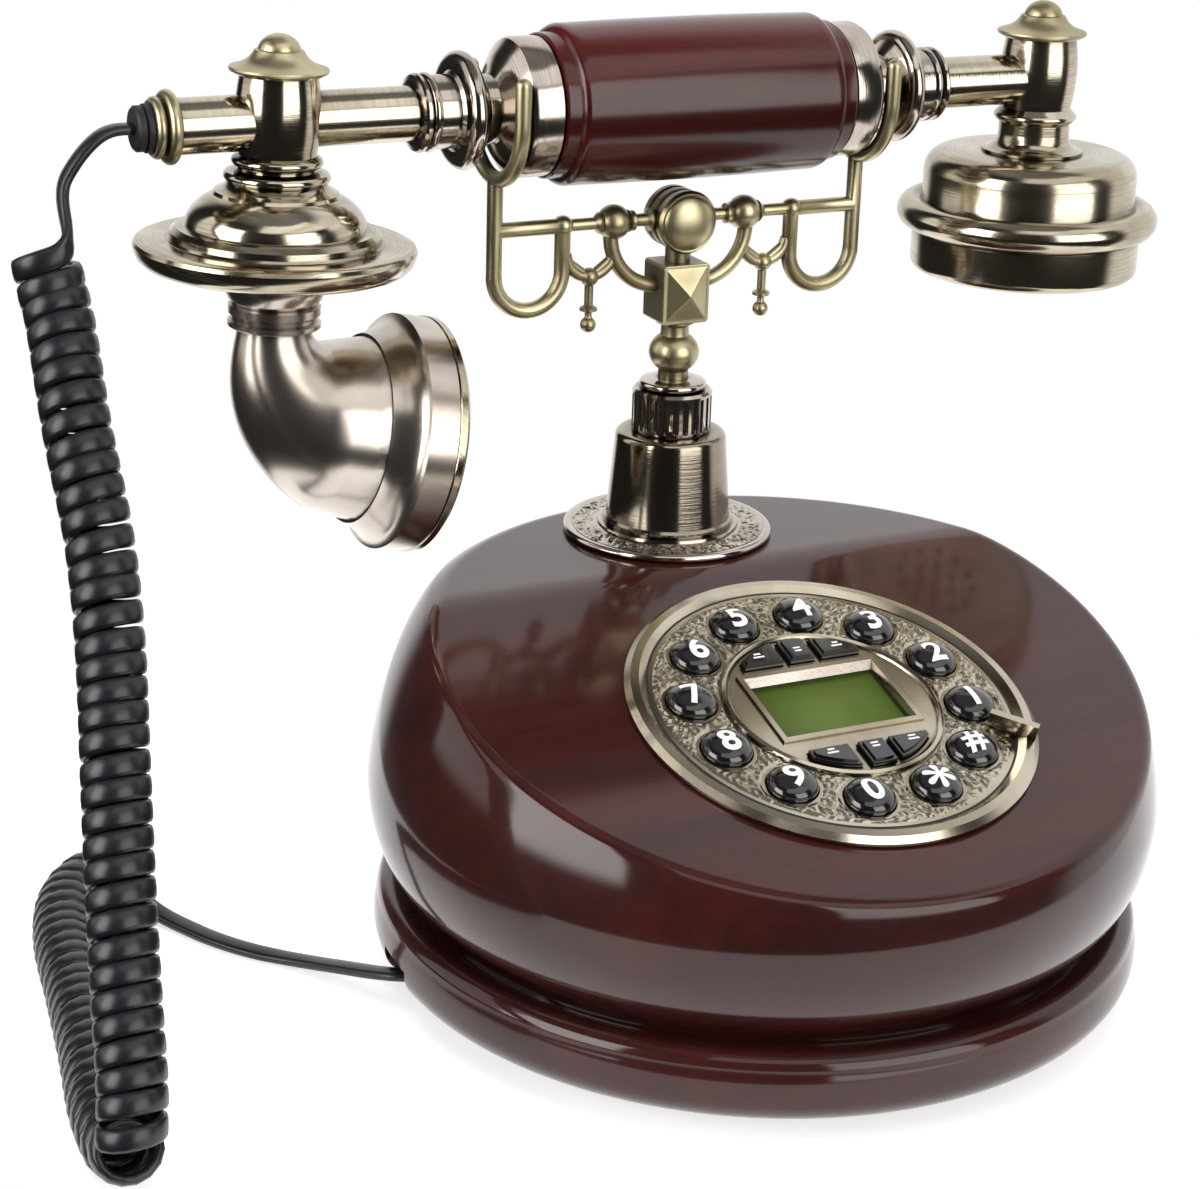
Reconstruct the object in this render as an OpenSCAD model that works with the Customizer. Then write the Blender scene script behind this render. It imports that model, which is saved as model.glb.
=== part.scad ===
// French-style cradle telephone: wooden body with a keypad dial, a brass column
// that carries the fork-shaped cradle, and a handset with a horn mouthpiece.
// Origin: centre of the body on the table. +Y is the back, +X the ear side.

/* [Body] */
// Largest radius of the wooden body
body_r = 87.5; // [85:0.5:89]
// Height of the flat top above the table
body_top_z = 86.6; // [84:0.2:89]
// Height of the joint between the plinth and the upper body
plinth_top_z = 22.3; // [20:0.1:24]
// Height of the rubber feet
foot_h = 3; // [2:0.5:4]
// Slope of the dial face, in degrees
face_tilt = 16.2; // [14:0.1:18]
// Distance behind the centre at which the face meets the flat top
crease_y = 23.8; // [22:0.2:26]

/* [Dial] */
// Radius of the dial plate
plate_r = 44.5; // [43:0.5:46]
// Distance in front of the centre to the dial's middle
dial_y = -28.4; // [-30:0.2:-27]
// Radius of the ring of number keys
key_ring_r = 30.8; // [30:0.1:31.5]
// Radius of a number key
key_r = 5.4; // [5:0.1:5.6]
// Travel of a key
key_travel = 1.5; // [1:0.1:1.6]
// Radius of the raised ring round the display
inner_ring_r = 23.2; // [22.8:0.1:23.6]
// Width of the display opening
display_w = 31.4; // [30:0.2:32]
// Height of the display opening
display_h = 20; // [19:0.2:20.4]
// Distance from the dial's middle up to the display's middle
display_y = 1.3; // [0:0.1:1.5]

/* [Column] */
// Distance behind the centre to the column and the handset
column_y = 49; // [48:0.5:50]
// Radius of the column's floor flange
flange_r = 24.3; // [23:0.1:25]
// Height of the column's cone top
cone_top_z = 111.2; // [110:0.2:112]
// Height of the fluted collar's top
collar_top_z = 121.2; // [120:0.2:122]
// Number of flutes round the collar
flutes = 26; // [20:1:30]
// Travel of the cradle
cradle_travel = 4; // [3:0.5:4]

/* [Cradle] */
// Height of the cradle's cross bar
bar_z = 160.7; // [160:0.1:161]
// Distance of each post from the middle
post_x = 45.2; // [45:0.1:46]
// Radius of the posts and hooks
post_rod_r = 1.75; // [1.6:0.05:1.8]
// Radius of the hook's curve, to the middle of the rod
hook_r = 14; // [13.8:0.1:14.4]
// Height of the middle of the hooks' curve
hook_z = 186.3; // [186:0.1:186.6]

/* [Handset] */
// Height of the handset's axis above the table
handset_z = 187.4; // [187:0.1:188]
// Distance from the middle to the earpiece's upright hub
ear_x = 93.9; // [93:0.1:95]
// Position of the mouthpiece's upright hub along the handset
mouth_x = -94.3; // [-95:0.1:-93]
// Lean of the mouthpiece's hub, whose foot stands a little outwards, in degrees
hub_lean = 1.9; // [0:0.1:2.5]
// Distance from the middle to the cord end of the handset
handset_half = 125.1; // [124:0.1:126]
// Largest radius of the wooden grip
grip_r = 17.7; // [17:0.1:18]
// Half of the wooden grip's length
grip_half = 35.4; // [35:0.1:35.6]
// Radius of the handset's tubes
tube_r = 5.8; // [5.6:0.05:6.2]
// Largest radius of the saucer over the mouthpiece
saucer_r = 29.7; // [28:0.1:30]
// Downward tilt of the mouthpiece, in degrees
mouth_tilt = 9.4; // [8:0.2:11]
// Radius of the receiver's bead
ear_bead_r = 30.9; // [30:0.1:31]

/* [Cord] */
// Width of the flat handset lead
lead_w = 4.8; // [4.6:0.1:5]
// Thickness of the flat handset lead
lead_t = 2.3; // [2.2:0.1:2.4]
// Outer diameter of the curly stretch
coil_d = 14.3; // [14:0.1:14.4]

/* [Hidden] */
$fn = 64;

// Key angles run anticlockwise round the dial from just below the right-hand side.
key_names = ["key_1", "key_2", "key_3", "key_4", "key_5", "key_6", "key_7", "key_8",
    "key_9", "key_0", "key_star", "key_hash"];
first_key_angle = -14;
key_step = 30;

wood = "#3b1512";
brass = "#a8946a";
pewter = "#7d756c";
rubber_black = "#1b1b1d";

slot_gap = 0.3;    // clearance between a key and the plate
seat_gap = 0.05;   // clearance between pieces that are fixed together
slide_fit = 0.06;  // radial clearance of the cradle's stem in its guide
body_wall = 12;
body_inner_r = 66;
plinth_r = 86;
plinth_waist_r = 83.6;
plinth_floor_r = 69;
plinth_belly_z = 15;
plinth_inner_r = 60;
upper_foot_r = 73;
upper_belly_z = 46;
upper_top_r = 72;
slope = tan(face_tilt);
dial_z = body_top_z - (crease_y - dial_y) * slope;
plate_floor = 1.4;  // thickness of the dial plate's recessed floor
guide_r = 3.56;
stem_r = guide_r - slide_fit;
coil_r = coil_d / 2;
jack_z = 8.6;

// Route of the lead from the handset to the curly stretch.
lead_route = [[-125.3, 49, 187.5], [-129, 49, 187.4], [-132, 49, 186.3], [-135, 49, 183.8],
    [-137.5, 49, 180.8], [-140, 49, 177], [-142.4, 49, 173.3], [-144.4, 48.6, 169.6],
    [-145.1, 47.6, 166.4]];
// Middle line of the curly stretch: it hangs, turns on the table and lies back.
coil_route = [[-145.1, 47.6, 166.4], [-144, 45, 157], [-143.5, 41, 150], [-144.2, 29, 132],
    [-143.8, 17, 112], [-145.4, 6, 93], [-148.6, -6, 72], [-151.5, -17, 52], [-153.9, -27, 35],
    [-155.9, -36, 21], [-157.8, -40, 11], [-158.5, -34, 7.3], [-157.5, -20, 7.3],
    [-153.5, 2, 7.3], [-149.5, 27, 7.3], [-146, 50, 7.3], [-141, 67, 7.3],
    [-134, 77, 7.3], [-125, 81, 7.3]];
// Route of the lead from the curly stretch to the jack in the plinth.
tail_route = [[-125, 81, 4.2], [-119.4, 67, 2.2], [-115.2, 56, 1.7], [-111, 48, 1.7],
    [-106, 41, 1.7], [-101, 35.4, 1.8], [-96, 28, 3], [-92, 20, 5], [-88, 12, 7],
    [-84.6, 6.6, 8.4], [-81.5, 5, 8.6]];

// ---- shared shapes ----

// Points on an arc about (cx, cz), from angle a0 to a1.
function arc(cx, cz, r, a0, a1, n = 8) =
    [for (i = [0:n]) let (a = a0 + (a1 - a0) * i / n) [cx + r * cos(a), cz + r * sin(a)]];

// Outline that bulges to radius r and falls in by d at the end of the height,
// e running from 0 at the belly to 1 at the end.
function bulge(r, d, p, e) = r - d * (1 - pow(max(0, 1 - pow(e, p)), 1 / p));

// Catmull-Rom curve through pts, with n steps between points.
function spline_point(a, b, c, d, s) =
    0.5 * ((2 * b) + (c - a) * s + (2 * a - 5 * b + 4 * c - d) * s * s
        + (3 * b - a - 3 * c + d) * s * s * s);
function spline(pts, n) =
    let (m = len(pts) - 1)
    concat([for (i = [0:m - 1]) for (j = [0:n - 1])
        spline_point(i == 0 ? 2 * pts[0] - pts[1] : pts[i - 1], pts[i], pts[i + 1],
            i == m - 1 ? 2 * pts[m] - pts[m - 1] : pts[i + 2], j / n)], [pts[m]]);

function unit(v) = v / norm(v);

// Closed tube along line with half width hw and half thickness ht, or one pair
// of halves for each point; side is the direction that the width keeps to.
module swept_tube(line, hw, ht, sides, side) {
    n = len(line);
    rings = [for (i = [0:n - 1])
        let (t = unit(line[min(i + 1, n - 1)] - line[max(i - 1, 0)]),
            u = unit(side - t * (side * t)), v = cross(t, u))
        for (k = [0:sides - 1]) let (a = 360 * k / sides)
            line[i] + u * hw * cos(a) + v * ht * sin(a)];
    faces = concat([[for (k = [0:sides - 1]) sides - 1 - k]],
        [for (i = [0:n - 2]) for (k = [0:sides - 1])
            let (a = i * sides + k, b = i * sides + (k + 1) % sides)
            [a, b, b + sides, a + sides]],
        [[for (k = [0:sides - 1]) (n - 1) * sides + k]]);
    polyhedron(points = rings, faces = [for (f = faces) [for (i = [len(f) - 1:-1:0]) f[i]]]);
}

// A turned piece whose outline is [radius, distance along X] about the handset's axis.
module turned_x(outline) {
    translate([0, column_y, handset_z]) rotate([0, 90, 0]) rotate_extrude() polygon(outline);
}

// The same outline on both halves of the handset.
module both_ends() {
    for (side = [0, 1]) mirror([side, 0, 0]) children();
}

// A turned piece about an upright axis at x and the column's line.
module turned_z(x, outline) {
    translate([x, column_y, 0]) rotate_extrude() polygon(outline);
}

module in_dial() {
    translate([0, dial_y, dial_z]) rotate([face_tilt, 0, 0]) children();
}

// Everything above the sloping face, drop below it.
module above_face(drop) {
    translate([0, crease_y, body_top_z - drop]) rotate([face_tilt, 0, 0])
        translate([-150, -200, 0]) cube([300, 200, 100]);
}

// ---- body ----

module upper_outline() {
    steps = 14;
    low = [for (i = [0:steps]) let (e = 1 - i / steps)
        [bulge(body_r, body_r - upper_foot_r, 2.1, e),
            plinth_top_z + (upper_belly_z - plinth_top_z) * (1 - e)]];
    high = [for (i = [1:steps]) let (e = i / steps)
        [bulge(body_r, body_r - upper_top_r, 1.5, e),
            upper_belly_z + (body_top_z - upper_belly_z) * e]];
    polygon(concat([[0, plinth_top_z]], low, high, [[0, body_top_z]]));
}

module upper_body() color(wood) difference() {
    rotate_extrude($fn = 128) upper_outline();
    above_face(0);
    difference() {
        translate([0, 0, plinth_top_z - 1])
            cylinder(r = body_inner_r, h = body_top_z - body_wall - plinth_top_z + 1);
        above_face(body_wall);
    }
    in_dial() translate([0, 0, -20]) cylinder(r = 41, h = 21);
    translate([0, column_y, 50]) cylinder(r = 6, h = 60);
}

module plinth_outline() {
    steps = 10;
    low = [for (i = [0:steps]) let (e = 1 - i / steps)
        [bulge(plinth_r, plinth_r - plinth_floor_r, 2.2, e),
            foot_h + (plinth_belly_z - foot_h) * (1 - e)]];
    high = [for (i = [1:4]) let (e = i / 4)
        [bulge(plinth_r, plinth_r - plinth_waist_r, 2.2, e),
            plinth_belly_z + (plinth_top_z - plinth_belly_z) * e]];
    polygon(concat([[plinth_inner_r, foot_h]], low, high, [[plinth_inner_r, plinth_top_z]]));
}

// Direction each jack faces, and how far it sits to the side of that direction.
jack_places = [[180, -5], [90, 0]];

module at_jack(place) {
    rotate([0, 0, place[0]]) translate([0, place[1], jack_z]) children();
}

module at_jacks() {
    for (place = jack_places) at_jack(place) children();
}

module plinth() color(wood) difference() {
    rotate_extrude($fn = 128) plinth_outline();
    at_jacks() translate([55, -6.6, -4.6]) cube([40, 13.2, 9.2]);
    rotate_extrude() translate([0, foot_h - 1]) square([61.5, 3.1]);
    at_feet() translate([0, 0, foot_h - 1]) cylinder(r = 1.6, h = 7);
}

module at_feet() {
    for (a = [45:90:315]) rotate(a) translate([63.5, 0, 0]) children();
}

module bottom_plate() color("#2a2a2c") difference() {
    translate([0, 0, foot_h]) cylinder(r = 61.3, h = 2);
    at_screws() translate([0, 0, foot_h - 1]) cylinder(r = 1.7, h = 4);
    for (i = [-4:4]) translate([-38 + i * 3.2, 18, foot_h - 1]) cylinder(r = 1, h = 4);
}

module at_screws() {
    for (a = [0:90:270]) rotate(a) translate([48, 0, 0]) children();
}

// Screw posts stand on the plate and carry the board and the weight.
module bottom_screws() color("silver") at_screws() {
    translate([0, 0, foot_h - 1.4]) cylinder(r = 3, h = 1.4);
    translate([0, 0, foot_h]) cylinder(r = 1.6, h = 7);
}

module rubber_feet() color(rubber_black) at_feet() {
    rotate_extrude() polygon(concat([[0, 0], [4.4, 0]], arc(4.4, 0.9, 0.9, -90, 0, 4),
        [[5.8, foot_h], [0, foot_h]]));
    translate([0, 0, foot_h - 0.5]) cylinder(r = 1.5, h = 6);
}

// ---- dial ----

module key_place(i, r = key_ring_r) {
    a = first_key_angle + i * key_step;
    translate([r * cos(a), r * sin(a), 0]) children();
}

// The six function keys: three above the display and three below. Each entry is
// the middle x, the half width and the row (1 above, -1 below).
function_keys = [[-9.2, 4.6, 1], [0.2, 2.9, 1], [9.6, 4.6, 1],
    [-9, 4.6, -1], [1, 2.9, -1], [10, 4.6, -1]];
function_arc_r = 21.4;
function_row_y = 14.2;

// Outline of a function key: flat towards the display, following the ring outside.
module function_outline(i, grow) {
    k = function_keys[i];
    intersection() {
        circle(r = function_arc_r + grow);
        translate([k[0] - k[1] - grow, k[2] > 0 ? function_row_y - grow : -30])
            square([2 * (k[1] + grow), 30 - function_row_y + grow]);
    }
}

module plate_outline() {
    polygon([[0, 0], [plate_r - 0.6, 0], [plate_r, 0.5], [plate_r, 1.1],
        [plate_r - 1.2, 2.3], [plate_r - 3, 2.5], [plate_r - 4.2, 1.7],
        [plate_r - 4.6, plate_floor], [inner_ring_r + 0.9, plate_floor],
        [inner_ring_r + 0.6, 2.2], [inner_ring_r, 2.6], [inner_ring_r - 0.6, 2.2],
        [inner_ring_r - 0.9, 1.7], [0, 1.7]]);
}

// A block over the display opening, grown by grow on each side.
module display_box(grow, z, h) {
    translate([-display_w / 2 - grow, display_y - display_h / 2 - grow, z])
        cube([display_w + 2 * grow, display_h + 2 * grow, h]);
}

module dial_plate() color(brass) in_dial() {
    difference() {
        rotate_extrude($fn = 128) plate_outline();
        for (i = [0:11]) key_place(i) translate([0, 0, -1]) cylinder(r = key_r + slot_gap, h = 4);
        for (i = [0:5]) translate([0, 0, -1]) linear_extrude(4) function_outline(i, slot_gap);
        display_box(0, -1, 5);
    }
    // Bezel round the display.
    difference() {
        display_box(1.2, 1, 1.3);
        display_box(0, 0, 4);
    }
    // Finger stop, from between the last keys out to the rim.
    translate([30, -14.6, 1]) rotate(-44) translate([0, -0.9, 0]) cube([10.6, 1.8, 4.4]);
}

module display_window() color([0.75, 0.8, 0.7, 0.4]) in_dial() {
    display_box(-seat_gap, -0.4, 1.2);
}

module display_module() color("#4f5a1e") in_dial() {
    display_box(0.8, -4.3, 2.6);
    display_box(-0.5, -1.7, 1.2);
}

module number_key(i) color(rubber_black) in_dial() key_place(i) {
    rotate_extrude() polygon(concat([[0, -2.4], [6.5, -2.4], [6.5, -1.3], [key_r, -1.3],
        [key_r, 1.9]], [for (k = [1:8]) let (a = 11.25 * k)
            [key_r * cos(a), 1.9 + 2.7 * sin(a)]]));
}

module function_key(i) color(rubber_black) in_dial() {
    translate([0, 0, -2.4]) linear_extrude(1.1) intersection() {
        function_outline(i, 0.6);
        circle(r = 22.1);
    }
    translate([0, 0, -1.4]) linear_extrude(4.2) function_outline(i, 0);
    translate([0, 0, 2.7]) linear_extrude(0.6) function_outline(i, -0.7);
}

module keypad_mat() color("#3a3f45") in_dial() difference() {
    translate([0, 0, -6]) cylinder(r = 39.5, h = 1.8);
    display_box(1.2, -7, 4);
}

module circuit_boards() color("#1f5a35") {
    in_dial() difference() {
        translate([0, 0, -7.8]) cylinder(r = 38, h = 1.6);
        for (a = [30:60:330]) rotate(a) translate([27, 0, -9]) cylinder(r = 1.5, h = 4);
    }
    difference() {
        translate([-10, -40, 12]) cube([50, 44, 1.6]);
        at_screws() cylinder(r = 2, h = 30);
    }
}

module ringer() color("#2c2c30") translate([-38, 18, foot_h + 2]) difference() {
    union() {
        cylinder(r = 16, h = 6);
        cylinder(r = 9, h = 10);
    }
    translate([0, 0, -1]) cylinder(r = 12, h = 2.5);
}

module ballast_weight() color("#55555a") difference() {
    translate([-26, 14, foot_h + 2]) cube([56, 30, 9]);
    at_screws() cylinder(r = 3, h = 30);
    translate([-38, 18, 0]) cylinder(r = 17, h = 30);
}

// A modular socket: a block with a square mouth that faces outwards.
module jacks() color(rubber_black) at_jacks() difference() {
    translate([66, -6.5, -4.5]) cube([14.2, 13, 9]);
    translate([72, -3.9, -3.4]) cube([20, 7.8, 6.8]);
}

// ---- column ----

module column_flange() color(brass) difference() {
    turned_z(0, concat([[0, body_top_z], [flange_r - 0.8, body_top_z]],
        arc(flange_r - 1, body_top_z + 1, 1, -60, 110, 8),
        [[flange_r - 2.2, body_top_z + 1.6], [16.4, body_top_z + 2],
            [16.2, body_top_z + 2.6], [0, body_top_z + 2.6]]));
    translate([0, column_y, 80]) cylinder(r = 5, h = 20);
}

module column_cone() color(brass) difference() {
    turned_z(0, concat([[0, body_top_z + 2.6], [14.9, body_top_z + 2.6],
        [14.9, body_top_z + 3.6], [14.4, body_top_z + 4.2]],
        arc(11.2, cone_top_z - 1.6, 1.6, 0, 90, 6), [[0, cone_top_z]]));
    translate([0, column_y, 80]) cylinder(r = 4.4, h = 40);
}

// The fluted sleeve and the ring nut above it guide the cradle's stem.
module fluted_collar() color(brass) difference() {
    union() {
        turned_z(0, [[0, cone_top_z], [9, cone_top_z], [9.2, cone_top_z + 0.4],
            [9.2, collar_top_z - 0.6], [8.6, collar_top_z], [0, collar_top_z]]);
        turned_z(0, concat([[0, collar_top_z], [6.6, collar_top_z]],
            arc(6.7, collar_top_z + 1, 1, -70, 90, 6),
            [[5.2, collar_top_z + 2.4], [0, collar_top_z + 2.4]]));
    }
    translate([0, column_y, 100]) cylinder(r = guide_r, h = 40);
    for (i = [0:flutes - 1]) translate([0, column_y, cone_top_z + 0.9])
        rotate(360 / flutes * i) translate([9.35, 0, 0])
            cylinder(r = 0.62, h = collar_top_z - cone_top_z - 2.1, $fn = 24);
}

// Bracket under the body's roof: it seats the spring and holds the switch.
switch_seat_z = 42;
module hook_switch() color("#8a8a8e") {
    difference() {
        union() {
            translate([11, 41, switch_seat_z]) cube([1.5, 16, 32.5]);
            translate([-17, 41, switch_seat_z]) cube([29.5, 16, 1.5]);
        }
        translate([0, column_y, 30]) cylinder(r = 2, h = 30);
    }
    translate([-16.5, 43.5, switch_seat_z + 1.5]) cube([8, 11, 9]);
    translate([-16, 46, switch_seat_z + 10.4]) cube([1.2, 6, 2.6]);
    translate([-16, 46, switch_seat_z + 12.1]) cube([11, 6, 0.9]);
}

spring_turns = 5;
spring_low_z = switch_seat_z + 2.2;
spring_high_z = 54.4;
module return_spring() color("silver") translate([0, column_y, 0])
    swept_tube([for (i = [0:spring_turns * 12]) let (a = 30 * i)
        [4 * cos(a), 4 * sin(a),
            spring_low_z + (spring_high_z - spring_low_z) * i / (spring_turns * 12)]],
        0.6, 0.6, 6, [0, 0, 1]);

// ---- cradle ----

module ball_at(x, z, r) translate([x, column_y, z]) sphere(r = r, $fn = 32);

module rod(a, b, r) {
    d = b - a;
    translate([a[0], column_y, a[1]]) rotate([0, atan2(d[0], d[1]), 0])
        cylinder(r = r, h = norm(d), $fn = 32);
}

// A bent rod in the plane of the fork, about (x, z), from angle a0 to a1.
module bend(x, z, big_r, r, a0, a1) {
    translate([x, column_y, z]) rotate([90, 0, 0]) rotate([0, 0, a0])
        rotate_extrude(angle = a1 - a0, $fn = 64) translate([big_r, 0]) circle(r = r, $fn = 32);
}

small_bead_x = 28.8;
big_bead_x = 16.4;
loop_r = (post_x - small_bead_x) / 2;
loop_z = 150.5;
arc_x = 5;
arc_r = 12;
arc_z = 157.6;
drop_x = 22;
drop_z = 148.7;

module fork_half() {
    // Post, loop and hook.
    rod([post_x, loop_z], [post_x, hook_z - hook_r + 0.4], post_rod_r);
    bend(post_x - loop_r, loop_z, loop_r, 1.8, -180, 0);
    rod([small_bead_x, loop_z], [small_bead_x, bar_z], 1.8);
    translate([post_x, column_y, hook_z]) rotate([90, 0, 90])
        rotate([0, 0, 180]) rotate_extrude(angle = 180, $fn = 64)
            translate([hook_r, 0]) circle(r = post_rod_r, $fn = 32);
    for (y = [-hook_r, hook_r]) translate([post_x, column_y + y, hook_z]) {
        cylinder(r = post_rod_r, h = 8, $fn = 32);
        translate([0, 0, 8]) sphere(r = post_rod_r, $fn = 32);
    }
    // Cross bar with its beads and the turned neck at the medallion.
    rod([small_bead_x, bar_z], [post_x, bar_z], 1.7);
    rod([big_bead_x, bar_z], [small_bead_x, bar_z], 1.4);
    ball_at(small_bead_x, bar_z, 2.35);
    ball_at(big_bead_x, bar_z, 3.3);
    translate([0, column_y, bar_z]) rotate([0, 90, 0]) rotate_extrude()
        polygon([[0, 6.6], [2.4, 6.6], [2.6, 7.6], [1.5, 8.4], [1.4, 11], [2.3, 11.6],
            [2.3, 12.4], [1.9, 13], [2.6, 13.6], [2.6, 19.2], [1.9, 19.8], [2.2, 20.4],
            [1.4, 21.2], [0, 21.2]]);
    // Arc down to the block, and the drop between the arc and the loop.
    bend(arc_x, arc_z, arc_r, 1.7, -92, 12);
    rod([28, drop_z + 4.4], [drop_x, drop_z], 0.9);
    rod([16.2, drop_z + 4.4], [drop_x, drop_z], 0.9);
    ball_at(drop_x, drop_z, 1.5);
    translate([drop_x, column_y, 0]) rotate_extrude($fn = 32)
        polygon(concat([[0, 136]], arc(0, 137.8, 1.8, -90, 60, 8),
            [[0.8, 139.7], [0.8, 140.6], [2, 141.1], [2, 141.7], [1, 142.3], [1, 148], [0, 148]]));
}

module cradle_fork() color(brass) difference() {
    for (side = [0, 1]) mirror([side, 0, 0]) fork_half();
    // Seat against the block and the medallion.
    translate([-block_w / 2, column_y - 8, block_z0]) cube([block_w, 16, block_z1 - block_z0]);
    translate([0, column_y, medallion_z]) rotate([90, 0, 0])
        cylinder(r = medallion_r - 0.2, h = 20, center = true);
}

medallion_r = 7.15;
medallion_z = bar_z - 0.4;
module cradle_medallion() color(brass) {
    translate([0, column_y, medallion_z]) rotate([90, 0, 0]) rotate_extrude()
        polygon(concat([[0, -4.9], [6.2, -4.9], [6.9, -4.2], [6.9, -2.8], [6.4, -2.4],
            [6.4, -1.8], [6.9, -1.4], [6.9, 0.6], [6.4, 1], [6.4, 1.6], [6.9, 2],
            [medallion_r, 4.2], [6.6, 5], [5.6, 4.6]],
            [for (k = [0:8]) let (a = 11.25 * k) [5.4 * cos(a), 4.4 + 2.5 * sin(a)]]));
    translate([0, column_y, block_z1]) cylinder(r = 2.9, h = 3.4);
}

block_w = 11.6;
block_d = 10;
block_z0 = 137.2;
block_z1 = 150.8;
module cradle_block() color(brass) {
    h = block_z1 - block_z0;
    difference() {
        translate([-block_w / 2, column_y - block_d / 2, block_z0]) cube([block_w, block_d, h]);
        for (x = [-1, 1]) for (z = [block_z0, block_z1])
            translate([x * block_w / 2, column_y, z]) rotate([0, 45, 0])
                cube([0.8, block_d + 2, 0.8], center = true);
    }
    for (side = [0, 1]) translate([0, column_y, 0]) mirror([0, side, 0])
        translate([0, -block_d / 2, block_z0])
            polyhedron(points = [[-block_w / 2 + 0.4, 0.2, 0.4], [block_w / 2 - 0.4, 0.2, 0.4],
                [block_w / 2 - 0.4, 0.2, h - 0.4], [-block_w / 2 + 0.4, 0.2, h - 0.4],
                [0, -2.4, h / 2]],
                faces = [[0, 1, 2, 3], [1, 0, 4], [2, 1, 4], [3, 2, 4], [0, 3, 4]]);
}

ball_z = 129.6;
module cradle_stem() color(brass) turned_z(0, concat([[0, 55.4], [6, 55.4], [6, 57.2],
    [stem_r, 57.2], [stem_r, 125.4]],
    [for (k = [-5:5]) let (a = 11 * k) [5.75 * cos(a), ball_z + 4.9 * sin(a)]],
    [[3.2, 134.6], [3.2, 135.8], [4.4, 136.6], [4.4, block_z0], [0, block_z0]]));

// ---- handset ----

// A shallow barrel with round shoulders and a narrow step at each end.
grip_step_r = 15.3;
module grip() color(wood) turned_x(concat([[3.6, -grip_half], [grip_step_r, -grip_half],
        [grip_step_r + 0.3, -grip_half + 0.4], [grip_step_r + 0.3, -grip_half + 2.8]],
    arc(grip_step_r, 2.1 - grip_half + 3.1, 2.1, -80, -10, 6),
    [for (k = [-7:7]) [grip_r - 0.3 * pow(k / 7, 2), 4 * k]],
    arc(grip_step_r, grip_half - 2.1 - 3.1, 2.1, 10, 80, 6),
    [[grip_step_r + 0.3, grip_half - 2.8], [grip_step_r + 0.3, grip_half - 0.4],
        [grip_step_r, grip_half], [3.6, grip_half]]));

module grip_ferrules() color(pewter) both_ends() turned_x(concat(
    [[3.6, grip_half + seat_gap], [14.6, grip_half + seat_gap], [15, grip_half + 0.6],
        [15, grip_half + 6.2], [14.6, grip_half + 7.1], [13.3, grip_half + 8],
        [11.9, grip_half + 8.9], [10.3, grip_half + 9.7], [9, grip_half + 10.4],
        [8, grip_half + 11], [7.4, grip_half + 11.6], [3.6, grip_half + 11.6]]));

neck_x = grip_half + 11.7;
module neck_rings() color(pewter) both_ends() turned_x(concat(
    [[3.6, neck_x], [7.4, neck_x], [7.4, 49.4], [10.4, 51.8]],
    arc(10.6, 53.6, 2, -70, 80, 8),
    [[8.6, 55.6], [7.8, 56.2], [7.8, 60.6]], arc(7.4, 61.6, 1, -60, 90, 5),
    arc(7.4, 63.6, 1, -90, 90, 5), [[6.6, 64.9], [3.6, 64.9]]));

module tie_rod() color("silver") translate([-64.9, column_y, handset_z])
    rotate([0, 90, 0]) cylinder(r = 3.5, h = 129.8);

module handset_tubes() color(pewter) {
    translate([-116.2, column_y, handset_z]) rotate([0, 90, 0]) difference() {
        cylinder(r = tube_r, h = 51.2);
        translate([0, 0, -1]) cylinder(r = 4.8, h = 54);
    }
    translate([65, column_y, handset_z]) rotate([0, 90, 0]) difference() {
        cylinder(r = tube_r, h = ear_x - 65);
        translate([0, 0, -1]) cylinder(r = 4.8, h = ear_x - 63);
    }
}

// Outline of a hub's barrel and its top flange, from z = 180.6 up.
function hub_outline() = concat([[8.2, 180.6]],
    [for (k = [-5:5]) [8.95 - 0.7 * k * k / 25, 188.8 + 1.5 * k]],
    [[8.2, 196.8], [9.2, 197], [9.8, 197.6], [9.8, 198.2], [5.2, 199.8], [0, 199.8]]);

module hub_bore(x0, length) {
    translate([x0, column_y, handset_z]) rotate([0, 90, 0]) cylinder(r = tube_r + 0.02, h = length);
}

// Leans a piece about the middle of the mouthpiece's hub.
module leaning() {
    translate([mouth_x, column_y, handset_z]) rotate([0, hub_lean, 0])
        translate([-mouth_x, -column_y, -handset_z]) children();
}

module mouth_hub() color(pewter) difference() {
    leaning() turned_z(mouth_x, concat([[0, 174.8], [10.2, 174.8]], arc(10.1, 176, 1.1, -60, 60, 4),
        [[8.4, 177.4], [8.2, 177.9]], arc(8.6, 179.2, 1, -60, 60, 4), hub_outline()));
    hub_bore(mouth_x - 12, 24);
}

module ear_hub() color(pewter) difference() {
    turned_z(ear_x, concat([[0, 170.1], [11.9, 170.1], [11.9, 170.7]],
        arc(11.9, 174.3, 3.6, -90, -170, 6), [[8.3, 177]],
        arc(8.7, 178.6, 1, -60, 60, 4), hub_outline()));
    hub_bore(ear_x - 12, 12);
}

module finial(x) {
    turned_z(x, concat([[0, 199.8], [4.3, 199.8], [4.6, 200.2], [4.6, 201.4]],
        [for (k = [1:6]) let (a = 15 * k) [4.5 * cos(a), 201.6 + 3.7 * sin(a)]]));
}

module hub_finials() color(brass) {
    leaning() finial(mouth_x);
    finial(ear_x);
}

module cord_end_ring() color(brass) turned_x(concat([[2.6, -121.6], [5.6, -121.6]],
    arc(5.3, -120.4, 1.1, -70, 80, 6), arc(6.4, -117.8, 1.3, -110, 110, 8),
    [[5, -116.25], [2.6, -116.25]]));

module cord_grommet() color(rubber_black) turned_x([[0, -handset_half], [4.2, -handset_half],
    [4.7, -124.6], [4.7, -123.4], [4.2, -123.1], [5, -122.8], [5, -121.7],
    [2.5, -121.7], [2.5, -117.2], [0, -117.2]]);

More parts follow.
